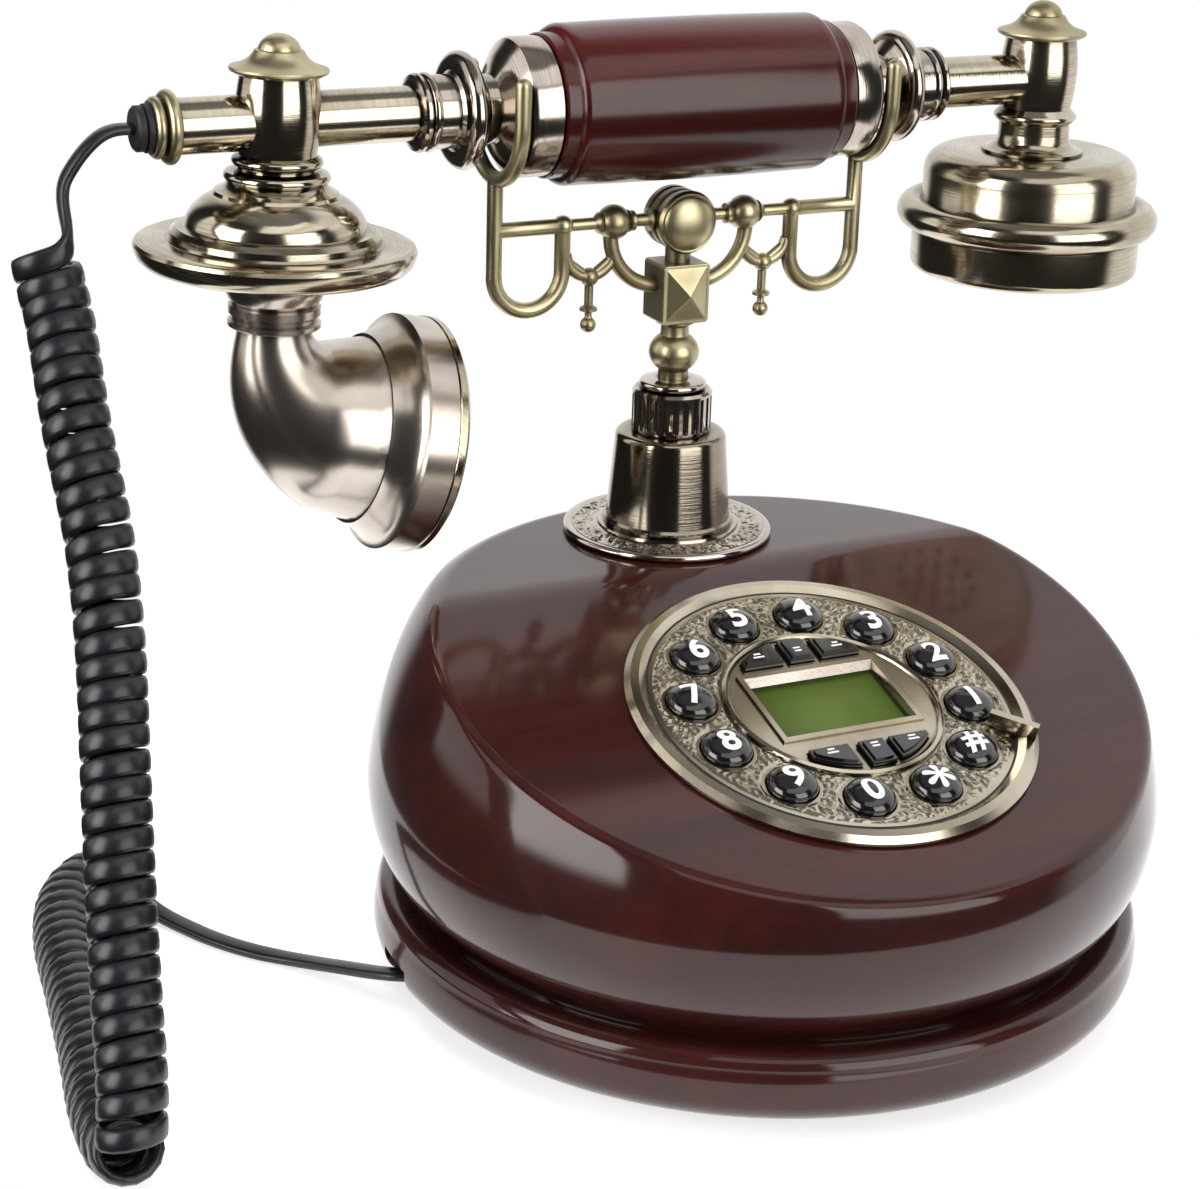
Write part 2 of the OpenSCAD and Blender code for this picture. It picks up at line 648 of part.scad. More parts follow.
// Bell dome, step and saucer above the mouthpiece.
module mouth_saucer() color(pewter) leaning() turned_z(mouth_x, concat([[0, 154.6], [10.4, 154.6],
    [saucer_r - 3.4, 156.9], [saucer_r - 1.9, 157.5], [saucer_r - 0.8, 158.6],
    [saucer_r - 0.2, 160], [saucer_r, 161.2], [saucer_r - 0.4, 162], [saucer_r - 1.1, 162.3],
    [22.6, 162.4], [22.2, 162.9], [22.1, 164.2], [20.9, 165.2], [19.2, 165.4]],
    [for (k = [0:9]) let (a = 7.5 * k) [19 * cos(a), 165.6 + 9.3 * sin(a)]],
    [[7, 174.75], [0, 174.75]]));

// Sections of the elbow: they swing about a point under the collar's right side
// and then run straight, and their radius grows all the way.
elbow_r0 = 7.8;
elbow_r1 = 17.9;
elbow_r2 = 20.2;
elbow_top_z = 144.1;
elbow_gap = 4.7;
elbow_turn = 90 - mouth_tilt;
elbow_run = 10.5;
elbow_growth = 1.5;
elbow_pivot = [mouth_x + elbow_r0 + elbow_gap, elbow_top_z];
turn_steps = 14;
run_steps = 4;
function turn_r(i) = elbow_r0 + (elbow_r1 - elbow_r0) * pow(i / turn_steps, elbow_growth);
function turn_centre(i) = let (a = elbow_turn * i / turn_steps, d = turn_r(i) + elbow_gap)
    elbow_pivot - d * [cos(a), sin(a)];
run_dir = [sin(elbow_turn), -cos(elbow_turn)];
elbow_sections = concat(
    [[[mouth_x, elbow_top_z + 2], elbow_r0, 0]],
    [for (i = [0:turn_steps]) [turn_centre(i), turn_r(i), elbow_turn * i / turn_steps]],
    [for (i = [1:run_steps]) [turn_centre(turn_steps) + run_dir * elbow_run * i / run_steps,
        elbow_r1 + (elbow_r2 - elbow_r1) * i / run_steps, elbow_turn]]);
elbow_end = elbow_sections[turn_steps + run_steps + 1][0];
elbow_sides = 36;

module elbow_horn() {
    n = len(elbow_sections);
    rings = [for (s = elbow_sections) for (k = [0:elbow_sides - 1])
        let (a = 360 * k / elbow_sides, across = s[1] * cos(a))
        [s[0][0] + across * cos(s[2]), column_y + s[1] * sin(a), s[0][1] + across * sin(s[2])]];
    polyhedron(points = rings,
        faces = concat([[for (k = [0:elbow_sides - 1]) elbow_sides - 1 - k]],
            [for (i = [0:n - 2]) for (k = [0:elbow_sides - 1])
                let (a = i * elbow_sides + k, b = i * elbow_sides + (k + 1) % elbow_sides)
                [a, b, b + elbow_sides, a + elbow_sides]],
            [[for (k = [0:elbow_sides - 1]) (n - 1) * elbow_sides + k]]));
}

// Frame at the elbow's mouth: +Z points out of the mouth.
module at_mouth() {
    leaning() translate([elbow_end[0], column_y, elbow_end[1]])
        rotate([0, 90 + mouth_tilt, 0]) children();
}

module mouth_elbow() color(pewter) {
    leaning() turned_z(mouth_x, [[0, elbow_top_z], [9.6, elbow_top_z], [9.9, 144.4],
        [9.9, 145.3], [9.2, 145.8], [9.2, 146.6], [9.8, 147.1], [9.8, 148.7], [9.1, 149.2],
        [10, 150.4], [10.9, 152.6], [10.9, 154.5], [0, 154.5]]);
    leaning() elbow_horn();
    at_mouth() difference() {
        rotate_extrude($fn = 96) polygon([[0, -0.4], [elbow_r2 + 0.5, -0.4], [21, 0.4],
            [23, 4], [24.4, 5.6], [25.8, 6.2], [25.8, 12.8], [0, 12.8]]);
        translate([0, 0, 5]) cylinder(r = 21.2, h = 9);
    }
}

mouth_holes = [[0, 1], [7, 6], [13.5, 12]];
module mouth_cap() color(pewter) at_mouth() difference() {
    rotate_extrude($fn = 96) polygon([[0, 12.9], [25.6, 12.9], [26, 13.2], [26, 14.6],
        [25, 15.5], [21.8, 15.7], [20, 14.8], [0, 14.4]]);
    for (ring = mouth_holes) for (i = [0:ring[1] - 1])
        rotate(360 / ring[1] * i) translate([ring[0], 0, 11]) cylinder(r = 1.1, h = 10, $fn = 24);
}

module microphone() color("#2c2c30") at_mouth() translate([0, 0, 5.1]) cylinder(r = 9, h = 5);

// Receiver cup with its heavy bead; it is open underneath for the speaker.
module receiver_cup() color(pewter) difference() {
    turned_z(ear_x, concat([[0, 151.6], [28.4, 151.6]],
        arc(ear_bead_r - 3.6, 155, 3.6, -60, 120, 10),
        [[25.4, 158.4], [25.15, 159], [25.15, 164]], arc(20.15, 165, 5, 0, 90, 8), [[0, 170]]));
    translate([ear_x, column_y, 150]) cylinder(r = 22, h = 17.4);
}

ear_holes = [[0, 1], [5, 6], [10, 12]];
module ear_cap() color(pewter) difference() {
    turned_z(ear_x, concat([[0, 143.4], [19, 142.4], [22.6, 141.5]],
        arc(25, 143.5, 2, -90, 0, 5), [[27, 150.9], [26.6, 151.5], [0, 151.5]]));
    translate([ear_x, column_y, 145.6]) cylinder(r = 22, h = 10);
    for (ring = ear_holes) for (i = [0:ring[1] - 1]) translate([ear_x, column_y, 140])
        rotate(360 / ring[1] * i) translate([ring[0], 0, 0]) cylinder(r = 1.1, h = 10, $fn = 24);
}

module ear_speaker() color("#2c2c30") translate([ear_x, column_y, 152])
    cylinder(r = 18, h = 9);

// ---- cord ----

module cord_leads() color(rubber_black) {
    swept_tube(spline(lead_route, 4), lead_w / 2, lead_t / 2, 8, [0, 1, 0]);
    swept_tube(spline(tail_route, 3), lead_w / 2, lead_t / 2, 8, [0.9, 0.4, 0]);
}

module cord_coil() color(rubber_black)
    swept_tube(spline(coil_route, 2), coil_r, coil_r, 12, [1, 0.1, 0]);

// The lead's modular plug sits in the jack on the left of the plinth.
module handset_plug() color([0.85, 0.86, 0.84, 0.5]) at_jack(jack_places[0])
    translate([73.4, -3.7, -3.2]) cube([8.1, 7.4, 6.4]);

upper_body();
plinth();
bottom_plate();
rubber_feet();
bottom_screws();
dial_plate();
display_window();
display_module();
keypad_mat();
circuit_boards();
ringer();
ballast_weight();
column_flange();
column_cone();
fluted_collar();
hook_switch();
return_spring();
jacks();
cradle_fork();
cradle_medallion();
cradle_block();
cradle_stem();
grip();
grip_ferrules();
neck_rings();
tie_rod();
handset_tubes();
mouth_hub();
ear_hub();
hub_finials();
cord_end_ring();
cord_grommet();
mouth_saucer();
mouth_elbow();
mouth_cap();
microphone();
receiver_cup();
ear_cap();
ear_speaker();
cord_leads();
cord_coil();
handset_plug();
for (i = [0:11]) number_key(i);
for (i = [0:5]) function_key(i);
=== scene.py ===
import math
import random
from contextlib import contextmanager

import bmesh
import bpy
from mathutils import Matrix, Vector


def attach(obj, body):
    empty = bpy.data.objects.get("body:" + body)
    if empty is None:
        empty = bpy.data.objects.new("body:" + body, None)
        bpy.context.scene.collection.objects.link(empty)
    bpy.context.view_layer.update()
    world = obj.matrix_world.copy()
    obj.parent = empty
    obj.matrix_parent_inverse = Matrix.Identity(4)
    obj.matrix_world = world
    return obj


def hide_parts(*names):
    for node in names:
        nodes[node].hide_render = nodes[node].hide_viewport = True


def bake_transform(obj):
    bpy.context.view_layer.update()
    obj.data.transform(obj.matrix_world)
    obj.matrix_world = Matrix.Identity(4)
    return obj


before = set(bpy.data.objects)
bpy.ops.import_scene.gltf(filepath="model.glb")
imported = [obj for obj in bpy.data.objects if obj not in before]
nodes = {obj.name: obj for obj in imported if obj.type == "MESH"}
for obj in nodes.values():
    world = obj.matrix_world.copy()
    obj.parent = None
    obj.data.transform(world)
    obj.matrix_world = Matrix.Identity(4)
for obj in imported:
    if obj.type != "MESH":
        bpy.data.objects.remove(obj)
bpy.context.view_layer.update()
mm = 0.001
# the column and the handset stand this far behind the body's middle, in metres
columnY = 0.049
dialSeat = {"middle": (0, -28.4, 71.434), "tilt": 16.2}
collection = bpy.context.scene.collection
bpy.context.scene.view_settings.view_transform = "Standard"
print("stage: frame loaded")


shot = {
    "place": Vector((-277.81, -475.67, 291.72)) * mm,
    "right": Vector((0.9000, -0.4349, 0.0292)),
    "up": Vector((0.1275, 0.3266, 0.9365)),
    "focalPixels": 2685.8,
    "widthPixels": 1200,
    "sensorWidth": 36,
    "shiftPixels": (1.2, -2.5),
}
cameraData = bpy.data.cameras.new("camera")
cameraData.sensor_width = shot["sensorWidth"]
cameraData.lens = shot["focalPixels"] / shot["widthPixels"] * shot["sensorWidth"]
cameraData.clip_start = 0.01
cameraData.shift_x = shot["shiftPixels"][0] / shot["widthPixels"]
cameraData.shift_y = shot["shiftPixels"][1] / shot["widthPixels"]
camera = bpy.data.objects.new("camera", cameraData)
collection.objects.link(camera)
right = shot["right"].normalized()
forward = shot["up"].cross(right).normalized()
up = right.cross(forward).normalized()
turn = Matrix((right, up, -forward)).transposed().to_4x4()
camera.matrix_world = Matrix.Translation(shot["place"]) @ turn
bpy.context.scene.camera = camera
print("stage: camera")


def addMesh(name, points, faces, smooth=True):
    mesh = bpy.data.meshes.new(name)
    mesh.from_pydata([tuple(p) for p in points], [], faces)
    mesh.update()
    if smooth:
        mesh.shade_smooth()
    piece = bpy.data.objects.new(name, mesh)
    collection.objects.link(piece)
    return piece


@contextmanager
def opened(mesh):
    work = bmesh.new()
    work.from_mesh(mesh)
    yield work
    work.to_mesh(mesh)
    work.free()


def outward(piece):
    with opened(piece.data) as work:
        bmesh.ops.recalc_face_normals(work, faces=work.faces)


def sharpen(piece, angle):
    piece.data.set_sharp_from_angle(angle=math.radians(angle))


def bevel(piece, width, segments, angle):
    modifier = piece.modifiers.new("bevel", "BEVEL")
    modifier.width = width * mm
    modifier.segments = segments
    modifier.limit_method = "ANGLE"
    modifier.angle_limit = math.radians(angle)
    modifier.harden_normals = True


def paint(piece, material):
    piece.data.materials.clear()
    piece.data.materials.append(material)


def curveThrough(points, steps):
    line = []
    last = len(points) - 1
    for i in range(last):
        b, c = points[i], points[i + 1]
        a = points[i - 1] if i else b * 2 - c
        d = points[i + 2] if i + 2 <= last else c * 2 - b
        for j in range(steps):
            s = j / steps
            line.append(
                0.5
                * (
                    2 * b
                    + (c - a) * s
                    + (2 * a - 5 * b + 4 * c - d) * s * s
                    + (3 * b - a - 3 * c + d) * s * s * s
                )
            )
    line.append(points[last].copy())
    return line


def evenly(line, step):
    along = [0]
    for i in range(1, len(line)):
        along.append(along[-1] + (line[i] - line[i - 1]).length)
    count = max(2, round(along[-1] / step))
    out = []
    j = 0
    for i in range(count + 1):
        target = along[-1] * i / count
        while j < len(line) - 2 and along[j + 1] < target:
            j += 1
        span = along[j + 1] - along[j]
        share = (target - along[j]) / span if span > 0 else 0
        out.append(line[j].lerp(line[j + 1], min(1, max(0, share))))
    return out


def sweep(name, line, sides, section):
    # section(i, tangent) gives the ring's two half axes.
    points = []
    faces = []
    for i, centre in enumerate(line):
        a, b = line[max(0, i - 1)], line[min(len(line) - 1, i + 1)]
        tangent = (b - a).normalized()
        across, through, power = section(i, tangent)
        for k in range(sides):
            angle = 2 * math.pi * k / sides
            x, y = math.cos(angle), math.sin(angle)
            x = math.copysign(abs(x) ** power, x)
            y = math.copysign(abs(y) ** power, y)
            points.append(centre + across * x + through * y)
    for i in range(len(line) - 1):
        for k in range(sides):
            a = i * sides + k
            b = i * sides + (k + 1) % sides
            faces.append((a, b, b + sides, a + sides))
    faces.append(tuple(range(sides - 1, -1, -1)))
    start = (len(line) - 1) * sides
    faces.append(tuple(range(start, start + sides)))
    piece = addMesh(name, points, faces)
    outward(piece)
    return piece


def fit(piece, material, body):
    paint(piece, material)
    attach(piece, body)


# Quads over count columns of rows points, closed both ways round.
def wrapFaces(count, rows):
    faces = []
    for i in range(count):
        j = (i + 1) % count
        for k in range(rows):
            m = (k + 1) % rows
            faces.append((i * rows + k, j * rows + k, j * rows + m, i * rows + m))
    return faces


weldReach = 0.000001
turnedSharp = 32


# Turns a closed outline of (radius, height) pairs about Z, then places it.
def turned(name, outline, material, body, place=None, count=96):
    points = []
    for i in range(count):
        angle = 2 * math.pi * i / count
        points += [Vector((r * math.cos(angle), r * math.sin(angle), z)) * mm for r, z in outline]
    if place is not None:
        points = [place @ p for p in points]
    piece = addMesh(name, points, wrapFaces(count, len(outline)))
    with opened(piece.data) as work:
        bmesh.ops.remove_doubles(work, verts=work.verts, dist=weldReach)
        bmesh.ops.dissolve_degenerate(work, edges=work.edges, dist=weldReach)
    outward(piece)
    sharpen(piece, turnedSharp)
    fit(piece, material, body)
    return piece


boxCorners = [(0, 1, 3, 2), (4, 6, 7, 5), (0, 4, 5, 1), (2, 3, 7, 6), (0, 2, 6, 4), (1, 5, 7, 3)]


# boxes: (matrix, low corner, high corner)
def cutBy(piece, boxes):
    points = []
    faces = []
    for place, low, high in boxes:
        first = len(points)
        for x in (low[0], high[0]):
            for y in (low[1], high[1]):
                for z in (low[2], high[2]):
                    points.append(place @ (Vector((x, y, z)) * mm))
        for corners in boxCorners:
            faces.append(tuple(first + k for k in corners))
    cutter = addMesh("cutter", points, faces, smooth=False)
    outward(cutter)
    subtract(piece, cutter)


def subtract(piece, cutter):
    modifier = piece.modifiers.new("cut", "BOOLEAN")
    modifier.operation = "DIFFERENCE"
    modifier.solver = "EXACT"
    modifier.object = cutter
    bake(piece)
    bpy.data.objects.remove(cutter)


def bake(piece):
    bpy.context.view_layer.update()
    graph = bpy.context.evaluated_depsgraph_get()
    mesh = bpy.data.meshes.new_from_object(piece.evaluated_get(graph))
    piece.modifiers.clear()
    piece.data = mesh


cordSizes = {
    "width": 4.8,
    "thickness": 2.3,
    "turnRadius": 5.95,
    "pitch": 5.0,
    "pointsPerTurn": 16,
    "steps": 12,
    "axisStep": 0.5,
    "leadStep": 1.2,
    "bridgeStep": 0.9,
    "wobble": 0.1,
    "squareness": 0.72,
    "seed": 11,
    # points left out at each join, where a bridge runs on smoothly instead
    "leadTrim": 13,
    "coilTrim": (12, 11),
    "tailTrim": 24,
    "bridgeReach": 0.4,
    "lead": [
        (-125.3, 49, 187.5), (-129, 49, 187.4), (-132, 49, 186.3), (-135, 49, 183.8),
        (-137.5, 49, 180.8), (-140, 49, 177), (-142.4, 49, 173.3), (-144.4, 48.6, 169.6),
        (-145.1, 47.6, 166.4),
    ],
    "axis": [
        (-145.1, 47.6, 166.4), (-144, 45, 157), (-143.5, 41, 150), (-144.2, 29, 132),
        (-143.8, 17, 112), (-145.4, 6, 93), (-148.6, -6, 72), (-151.5, -17, 52),
        (-153.9, -27, 35), (-155.9, -36, 21), (-157.8, -40, 11), (-158.5, -34, 7.3),
        (-157.5, -20, 7.3), (-153.5, 2, 7.3), (-149.5, 27, 7.3), (-146, 50, 7.3),
        (-141, 67, 7.3), (-134, 77, 7.3), (-125, 81, 7.3),
    ],
    "tail": [
        (-125, 81, 4.2), (-119.4, 67, 2.2), (-115.2, 56, 1.7), (-111, 48, 1.7),
        (-106, 41, 1.7), (-101, 35.4, 1.8), (-96, 28, 3), (-92, 20, 5), (-88, 12, 7),
        (-84.6, 6.6, 8.4), (-81.5, 5, 8.6),
    ],
}


def buildCord(sizes):
    def smooth(route, step):
        return evenly(curveThrough([Vector(p) for p in route], sizes["steps"]), step)

    dice = random.Random(sizes["seed"])
    axis = smooth(sizes["axis"], sizes["axisStep"])
    tangents = []
    for i in range(len(axis)):
        a, b = axis[max(0, i - 1)], axis[min(len(axis) - 1, i + 1)]
        tangents.append((b - a).normalized())
    normal = Vector((-1, 0, 0))
    normal = (normal - tangents[0] * normal.dot(tangents[0])).normalized()
    normals = [normal]
    for i in range(1, len(axis)):
        side = tangents[i - 1].rotation_difference(tangents[i]) @ normals[-1]
        side = (side - tangents[i] * side.dot(tangents[i])).normalized()
        normals.append(side)
    step = (axis[1] - axis[0]).length
    whole = step * (len(axis) - 1)
    turns = round(whole / sizes["pitch"])
    count = turns * sizes["pointsPerTurn"]
    sway = [dice.uniform(-1, 1) for _ in range(turns + 3)]

    def wobble(t):
        j = int(t)
        return sway[j] + (sway[j + 1] - sway[j]) * (t - j)

    line = []
    sides = []
    for i in range(count + 1):
        t = turns * i / count
        drift = sizes["wobble"] * wobble(t) * min(1, t, turns - t)
        place = (t + drift) / turns * (len(axis) - 1)
        place = min(len(axis) - 1.001, max(0, place))
        j = int(place)
        share = place - j
        centre = axis[j].lerp(axis[j + 1], share)
        along = tangents[j].lerp(tangents[j + 1], share).normalized()
        one = normals[j].lerp(normals[j + 1], share).normalized()
        two = along.cross(one)
        angle = 2 * math.pi * t
        spoke = one * math.cos(angle) + two * math.sin(angle)
        line.append(centre + spoke * sizes["turnRadius"])
        sides.append(along)
    lead = smooth(sizes["lead"], sizes["leadStep"])
    tail = smooth(sizes["tail"], sizes["leadStep"])
    leadSides = [Vector((0, 1, 0))] * len(lead)
    tailSides = [Vector((0.9, 0.4, 0))] * len(tail)

    def bridge(before, start, end, after):
        reach = (end - start).length * sizes["bridgeReach"]
        one = start + (start - before).normalized() * reach
        two = end - (after - end).normalized() * reach
        steps = max(4, round((end - start).length / sizes["bridgeStep"]))
        way = []
        for k in range(1, steps):
            t = k / steps
            u = 1 - t
            way.append(start * u**3 + one * 3 * t * u * u + two * 3 * t * t * u + end * t**3)
        return way

    def between(a, b, count):
        return [a.lerp(b, k / (count + 1)) for k in range(1, count + 1)]

    cut, (skip, stop), rest = sizes["leadTrim"], sizes["coilTrim"], sizes["tailTrim"]
    fromLead = bridge(lead[-cut - 1], lead[-cut], line[skip], line[skip + 1])
    toTail = bridge(line[-stop - 1], line[-stop], tail[rest], tail[rest + 1])
    turnedSides = between(leadSides[0], sides[skip], len(fromLead))
    laidSides = between(sides[-stop], tailSides[0], len(toTail))
    coil = slice(skip, len(line) - stop + 1)
    joined = lead[: 1 - cut] + fromLead + line[coil] + toTail + tail[rest:]
    joinedSides = leadSides[: 1 - cut] + turnedSides + sides[coil] + laidSides + tailSides[rest:]
    joined = [p * mm for p in joined]
    halfWidth = sizes["width"] / 2 * mm
    halfThickness = sizes["thickness"] / 2 * mm

    def section(i, tangent):
        across = joinedSides[i]
        across = (across - tangent * across.dot(tangent)).normalized()
        through = tangent.cross(across) * halfThickness
        return across * halfWidth, through, sizes["squareness"]

    piece = sweep("cord", joined, 12, section)
    length = sum((joined[i] - joined[i - 1]).length for i in range(1, len(joined)))
    return piece, joined, length


cordPiece, cordLine, cordLength = buildCord(cordSizes)
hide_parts("cord_leads", "cord_coil")
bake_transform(cordPiece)
print("stage: cord", round(cordLength, 3))


# inputs: {name: (kind, value)}. Gives each one's identifier.
def addInputs(tree, inputs):
    made = {}
    for label, (kind, value) in inputs.items():
        kind = "NodeSocket" + kind
        socket = tree.interface.new_socket(label, in_out="INPUT", socket_type=kind)
        if value is not None:
            socket.default_value = value
        made[label] = socket.identifier
    return made


def shaderGroup(name, inputs, outputs):
    group = bpy.data.node_groups.new(name, "ShaderNodeTree")
    addInputs(group, inputs)
    for label in outputs:
        group.interface.new_socket(label, in_out="OUTPUT", socket_type="NodeSocketFloat")
    return group, group.nodes.new("NodeGroupInput"), group.nodes.new("NodeGroupOutput")


def node(tree, kind, links=(), **values):
    made = tree.nodes.new(kind)
    for key, value in values.items():
        setattr(made, key, value)
    for label, source in dict(links).items():
        socket = made.inputs[label]
        if isinstance(source, bpy.types.NodeSocket):
            tree.links.new(source, socket)
        else:
            socket.default_value = source
    return made


def math2(tree, operation, a, b=0.0, c=None):
    links = {0: a, 1: b}
    if c is not None:
        links[2] = c
    return node(tree, "ShaderNodeMath", links, operation=operation).outputs[0]


def vector2(tree, operation, a, b=None):
    links = {0: a}
    if b is not None:
        links["Scale" if operation == "SCALE" else 1] = b
    made = node(tree, "ShaderNodeVectorMath", links, operation=operation)
    return made.outputs["Value" if operation in ("DOT_PRODUCT", "DISTANCE", "LENGTH") else 0]


def noise(tree, place, dimensions="3D", **inputs):
    inputs = {"Vector": place, **inputs}
    return node(tree, "ShaderNodeTexNoise", inputs, noise_dimensions=dimensions).outputs[0]


def objectPlace(tree):
    return node(tree, "ShaderNodeTexCoord").outputs["Object"]


def spread(tree, value, low, high, outLow=0.0, outHigh=1.0):
    links = {0: value, 1: low, 2: high, 3: outLow, 4: outHigh}
    made = node(tree, "ShaderNodeMapRange", links, interpolation_type="SMOOTHSTEP")
    return made.outputs[0]


def mixColour(tree, factor, a, b):
    return node(tree, "ShaderNodeMix", {0: factor, 6: a, 7: b}, data_type="RGBA").outputs[2]


def settle(shader, values):
    for label, value in values.items():
        shader.inputs[label].default_value = value


def roughen(tree, shader, height, distance):
    links = {"Height": height, "Strength": 0.05, "Distance": distance}
    tree.links.new(node(tree, "ShaderNodeBump", links).outputs[0], shader.inputs["Normal"])


def newMaterial(name):
    material = bpy.data.materials.new(name)
    material.use_nodes = True
    tree = material.node_tree
    return material, tree, tree.nodes["Principled BSDF"]


def tone(r, g, b):
    def linear(v):
        v = v / 255
        return v / 12.92 if v <= 0.04045 else ((v + 0.055) / 1.055) ** 2.4

    return (linear(r), linear(g), linear(b), 1)


# Streaked wood: long soft figure with finer pores along X.
def woodGrainGroup():
    group, start, end = shaderGroup(
        "woodGrain", {"Size": ("Float", 1.0)}, ("Figure", "Pores", "Peel")
    )
    place = objectPlace(group)
    sized = vector2(group, "SCALE", place, start.outputs[0])
    wide = node(group, "ShaderNodeMapping", {"Vector": sized, "Scale": (6, 55, 55)}).outputs[0]
    figure = noise(group, wide, Scale=1.0, Detail=5.0, Roughness=0.6, Distortion=0.6)
    thin = node(group, "ShaderNodeMapping", {"Vector": sized, "Scale": (60, 1400, 1400)}).outputs[0]
    pores = noise(group, thin, Scale=1.0, Detail=2.0)
    peel = noise(group, place, Scale=160.0, Detail=1.0)
    group.links.new(spread(group, figure, 0.32, 0.68), end.inputs["Figure"])
    group.links.new(spread(group, pores, 0.52, 0.7), end.inputs["Pores"])
    group.links.new(peel, end.inputs["Peel"])
    return group


woodGrain = woodGrainGroup()
lacquer = {
    "Roughness": 0.42,
    "Specular IOR Level": 0.05,
    "Coat Weight": 1.0,
    "Coat IOR": 1.46,
}


def woodMaterial(name, dark, light, pore, size, polish):
    material, tree, shader = newMaterial(name)
    grain = node(tree, "ShaderNodeGroup", {"Size": size}, node_tree=woodGrain)
    base = mixColour(tree, grain.outputs["Figure"], dark, light)
    base = mixColour(tree, math2(tree, "MULTIPLY", grain.outputs["Pores"], 0.35), base, pore)
    tree.links.new(base, shader.inputs["Base Color"])
    settle(shader, lacquer)
    settle(shader, {"Coat Roughness": polish})
    roughen(tree, shader, grain.outputs["Peel"], 0.001)
    return material


darkWood = woodMaterial(
    "darkWood", tone(45, 18, 18), tone(60, 24, 22), tone(32, 12, 12), 1.0, 0.09
)
gripWood = woodMaterial(
    "gripWood", tone(50, 13, 11), tone(72, 19, 15), tone(34, 8, 7), 1.3, 0.17
)


# Metal wear and painted shade: brown patina clouds the open faces, and an ambient-occlusion mask
# gives hollows and the places where parts meet a dark tone that is part patina, part painted shade.
def metalWearShadeGroup():
    group, start, end = shaderGroup(
        "metalWearShade",
        {"Reach": ("Float", 0.003), "Clouds": ("Float", 0.5)},
        ("HollowPatinaShade", "Cloud", "Scratch"),
    )
    place = objectPlace(group)
    # ambient occlusion from this and nearby parts: the dark it marks is painted shade as well as
    # patina
    shade = node(
        group, "ShaderNodeAmbientOcclusion", {"Distance": start.outputs["Reach"]}, samples=6
    )
    hollowShade = spread(group, shade.outputs["AO"], 0.45, 0.95, 1.0, 0.0)
    cloud = spread(group, noise(group, place, Scale=45.0, Detail=4.0), 0.35, 0.7)
    cloud = math2(group, "MULTIPLY", cloud, start.outputs["Clouds"])
    fine = noise(group, place, Scale=1500.0, Detail=2.0)
    group.links.new(hollowShade, end.inputs["HollowPatinaShade"])
    group.links.new(cloud, end.inputs["Cloud"])
    group.links.new(fine, end.inputs["Scratch"])
    return group


metalWearShade = metalWearShadeGroup()


# Brush lines round an axis: they change fast along it and outward, slowly round it.
def latheLinesGroup():
    group, start, end = shaderGroup(
        "latheLines",
        {
            "Axis": ("Vector", (0.0, 0.0, 1.0)),
            "Through": ("Vector", (0.0, 0.0, 0.0)),
            "Fineness": ("Float", 2600.0),
        },
        ("Lines",),
    )
    arm = vector2(group, "SUBTRACT", objectPlace(group), start.outputs["Through"])
    along = vector2(group, "DOT_PRODUCT", arm, start.outputs["Axis"])
    across = vector2(group, "CROSS_PRODUCT", start.outputs["Axis"], arm)
    outFrom = math2(group, "ADD", along, vector2(group, "LENGTH", across))
    quick = math2(group, "MULTIPLY", outFrom, start.outputs["Fineness"])
    slow = vector2(group, "SCALE", across, 90.0)
    lines = noise(group, slow, "4D", W=quick, Scale=1.0, Detail=2.0)
    group.links.new(spread(group, lines, 0.3, 0.7), end.inputs["Lines"])
    return group


latheLines = latheLinesGroup()


# An antique plated metal. Cloud carries its brown wear, the hollow mask its dark patina and
# painted shade; streak is how far the brush lines round the axis show.
def metalMaterial(
    name, look, rough, reach=0.003, clouds=0.5, streak=0.0, brushed=0.0, axis=None, through=None
):
    bright, brown, dark = look
    material, tree, shader = newMaterial(name)
    wearAndShade = node(tree, "ShaderNodeGroup", {"Reach": reach, "Clouds": clouds}, node_tree=metalWearShade)
    base = mixColour(tree, wearAndShade.outputs["Cloud"], bright, brown)
    roughness = math2(tree, "MULTIPLY_ADD", wearAndShade.outputs["Cloud"], 0.08, rough)
    height = wearAndShade.outputs["Scratch"]
    if axis is not None:
        inputs = {"Axis": axis, "Through": through}
        lines = node(tree, "ShaderNodeGroup", inputs, node_tree=latheLines).outputs["Lines"]
        base = mixColour(tree, math2(tree, "MULTIPLY", lines, streak), base, brown)
        roughness = math2(tree, "MULTIPLY_ADD", lines, 0.1 * streak, roughness)
        height = math2(tree, "ADD", height, lines)
        arm = vector2(tree, "SUBTRACT", objectPlace(tree), through)
        tree.links.new(vector2(tree, "CROSS_PRODUCT", axis, arm), shader.inputs["Tangent"])
        settle(shader, {"Anisotropic": brushed})
    # dark tone where the ambient-occlusion mask finds hollows and nearby parts: patina and painted
    # shade
    base = mixColour(tree, math2(tree, "MULTIPLY", wearAndShade.outputs["HollowPatinaShade"], 0.72), base, dark)
    tree.links.new(base, shader.inputs["Base Color"])
    settle(shader, {"Metallic": 1.0})
    tree.links.new(roughness, shader.inputs["Roughness"])
    roughen(tree, shader, height, 0.0001)
    return material


# each look: open-face tone, brown wear tone, and the dark tone of patina and painted shade in
# hollows
metalLooks = {
    "pewter": (tone(210, 200, 190), tone(150, 136, 124), tone(34, 29, 25)),
    "olive": (tone(208, 199, 180), tone(142, 128, 102), tone(34, 29, 22)),
    "gunmetal": (tone(178, 168, 152), tone(112, 101, 84), tone(26, 22, 18)),
    "gold": (tone(206, 196, 160), tone(140, 127, 94), tone(40, 34, 24)),
}
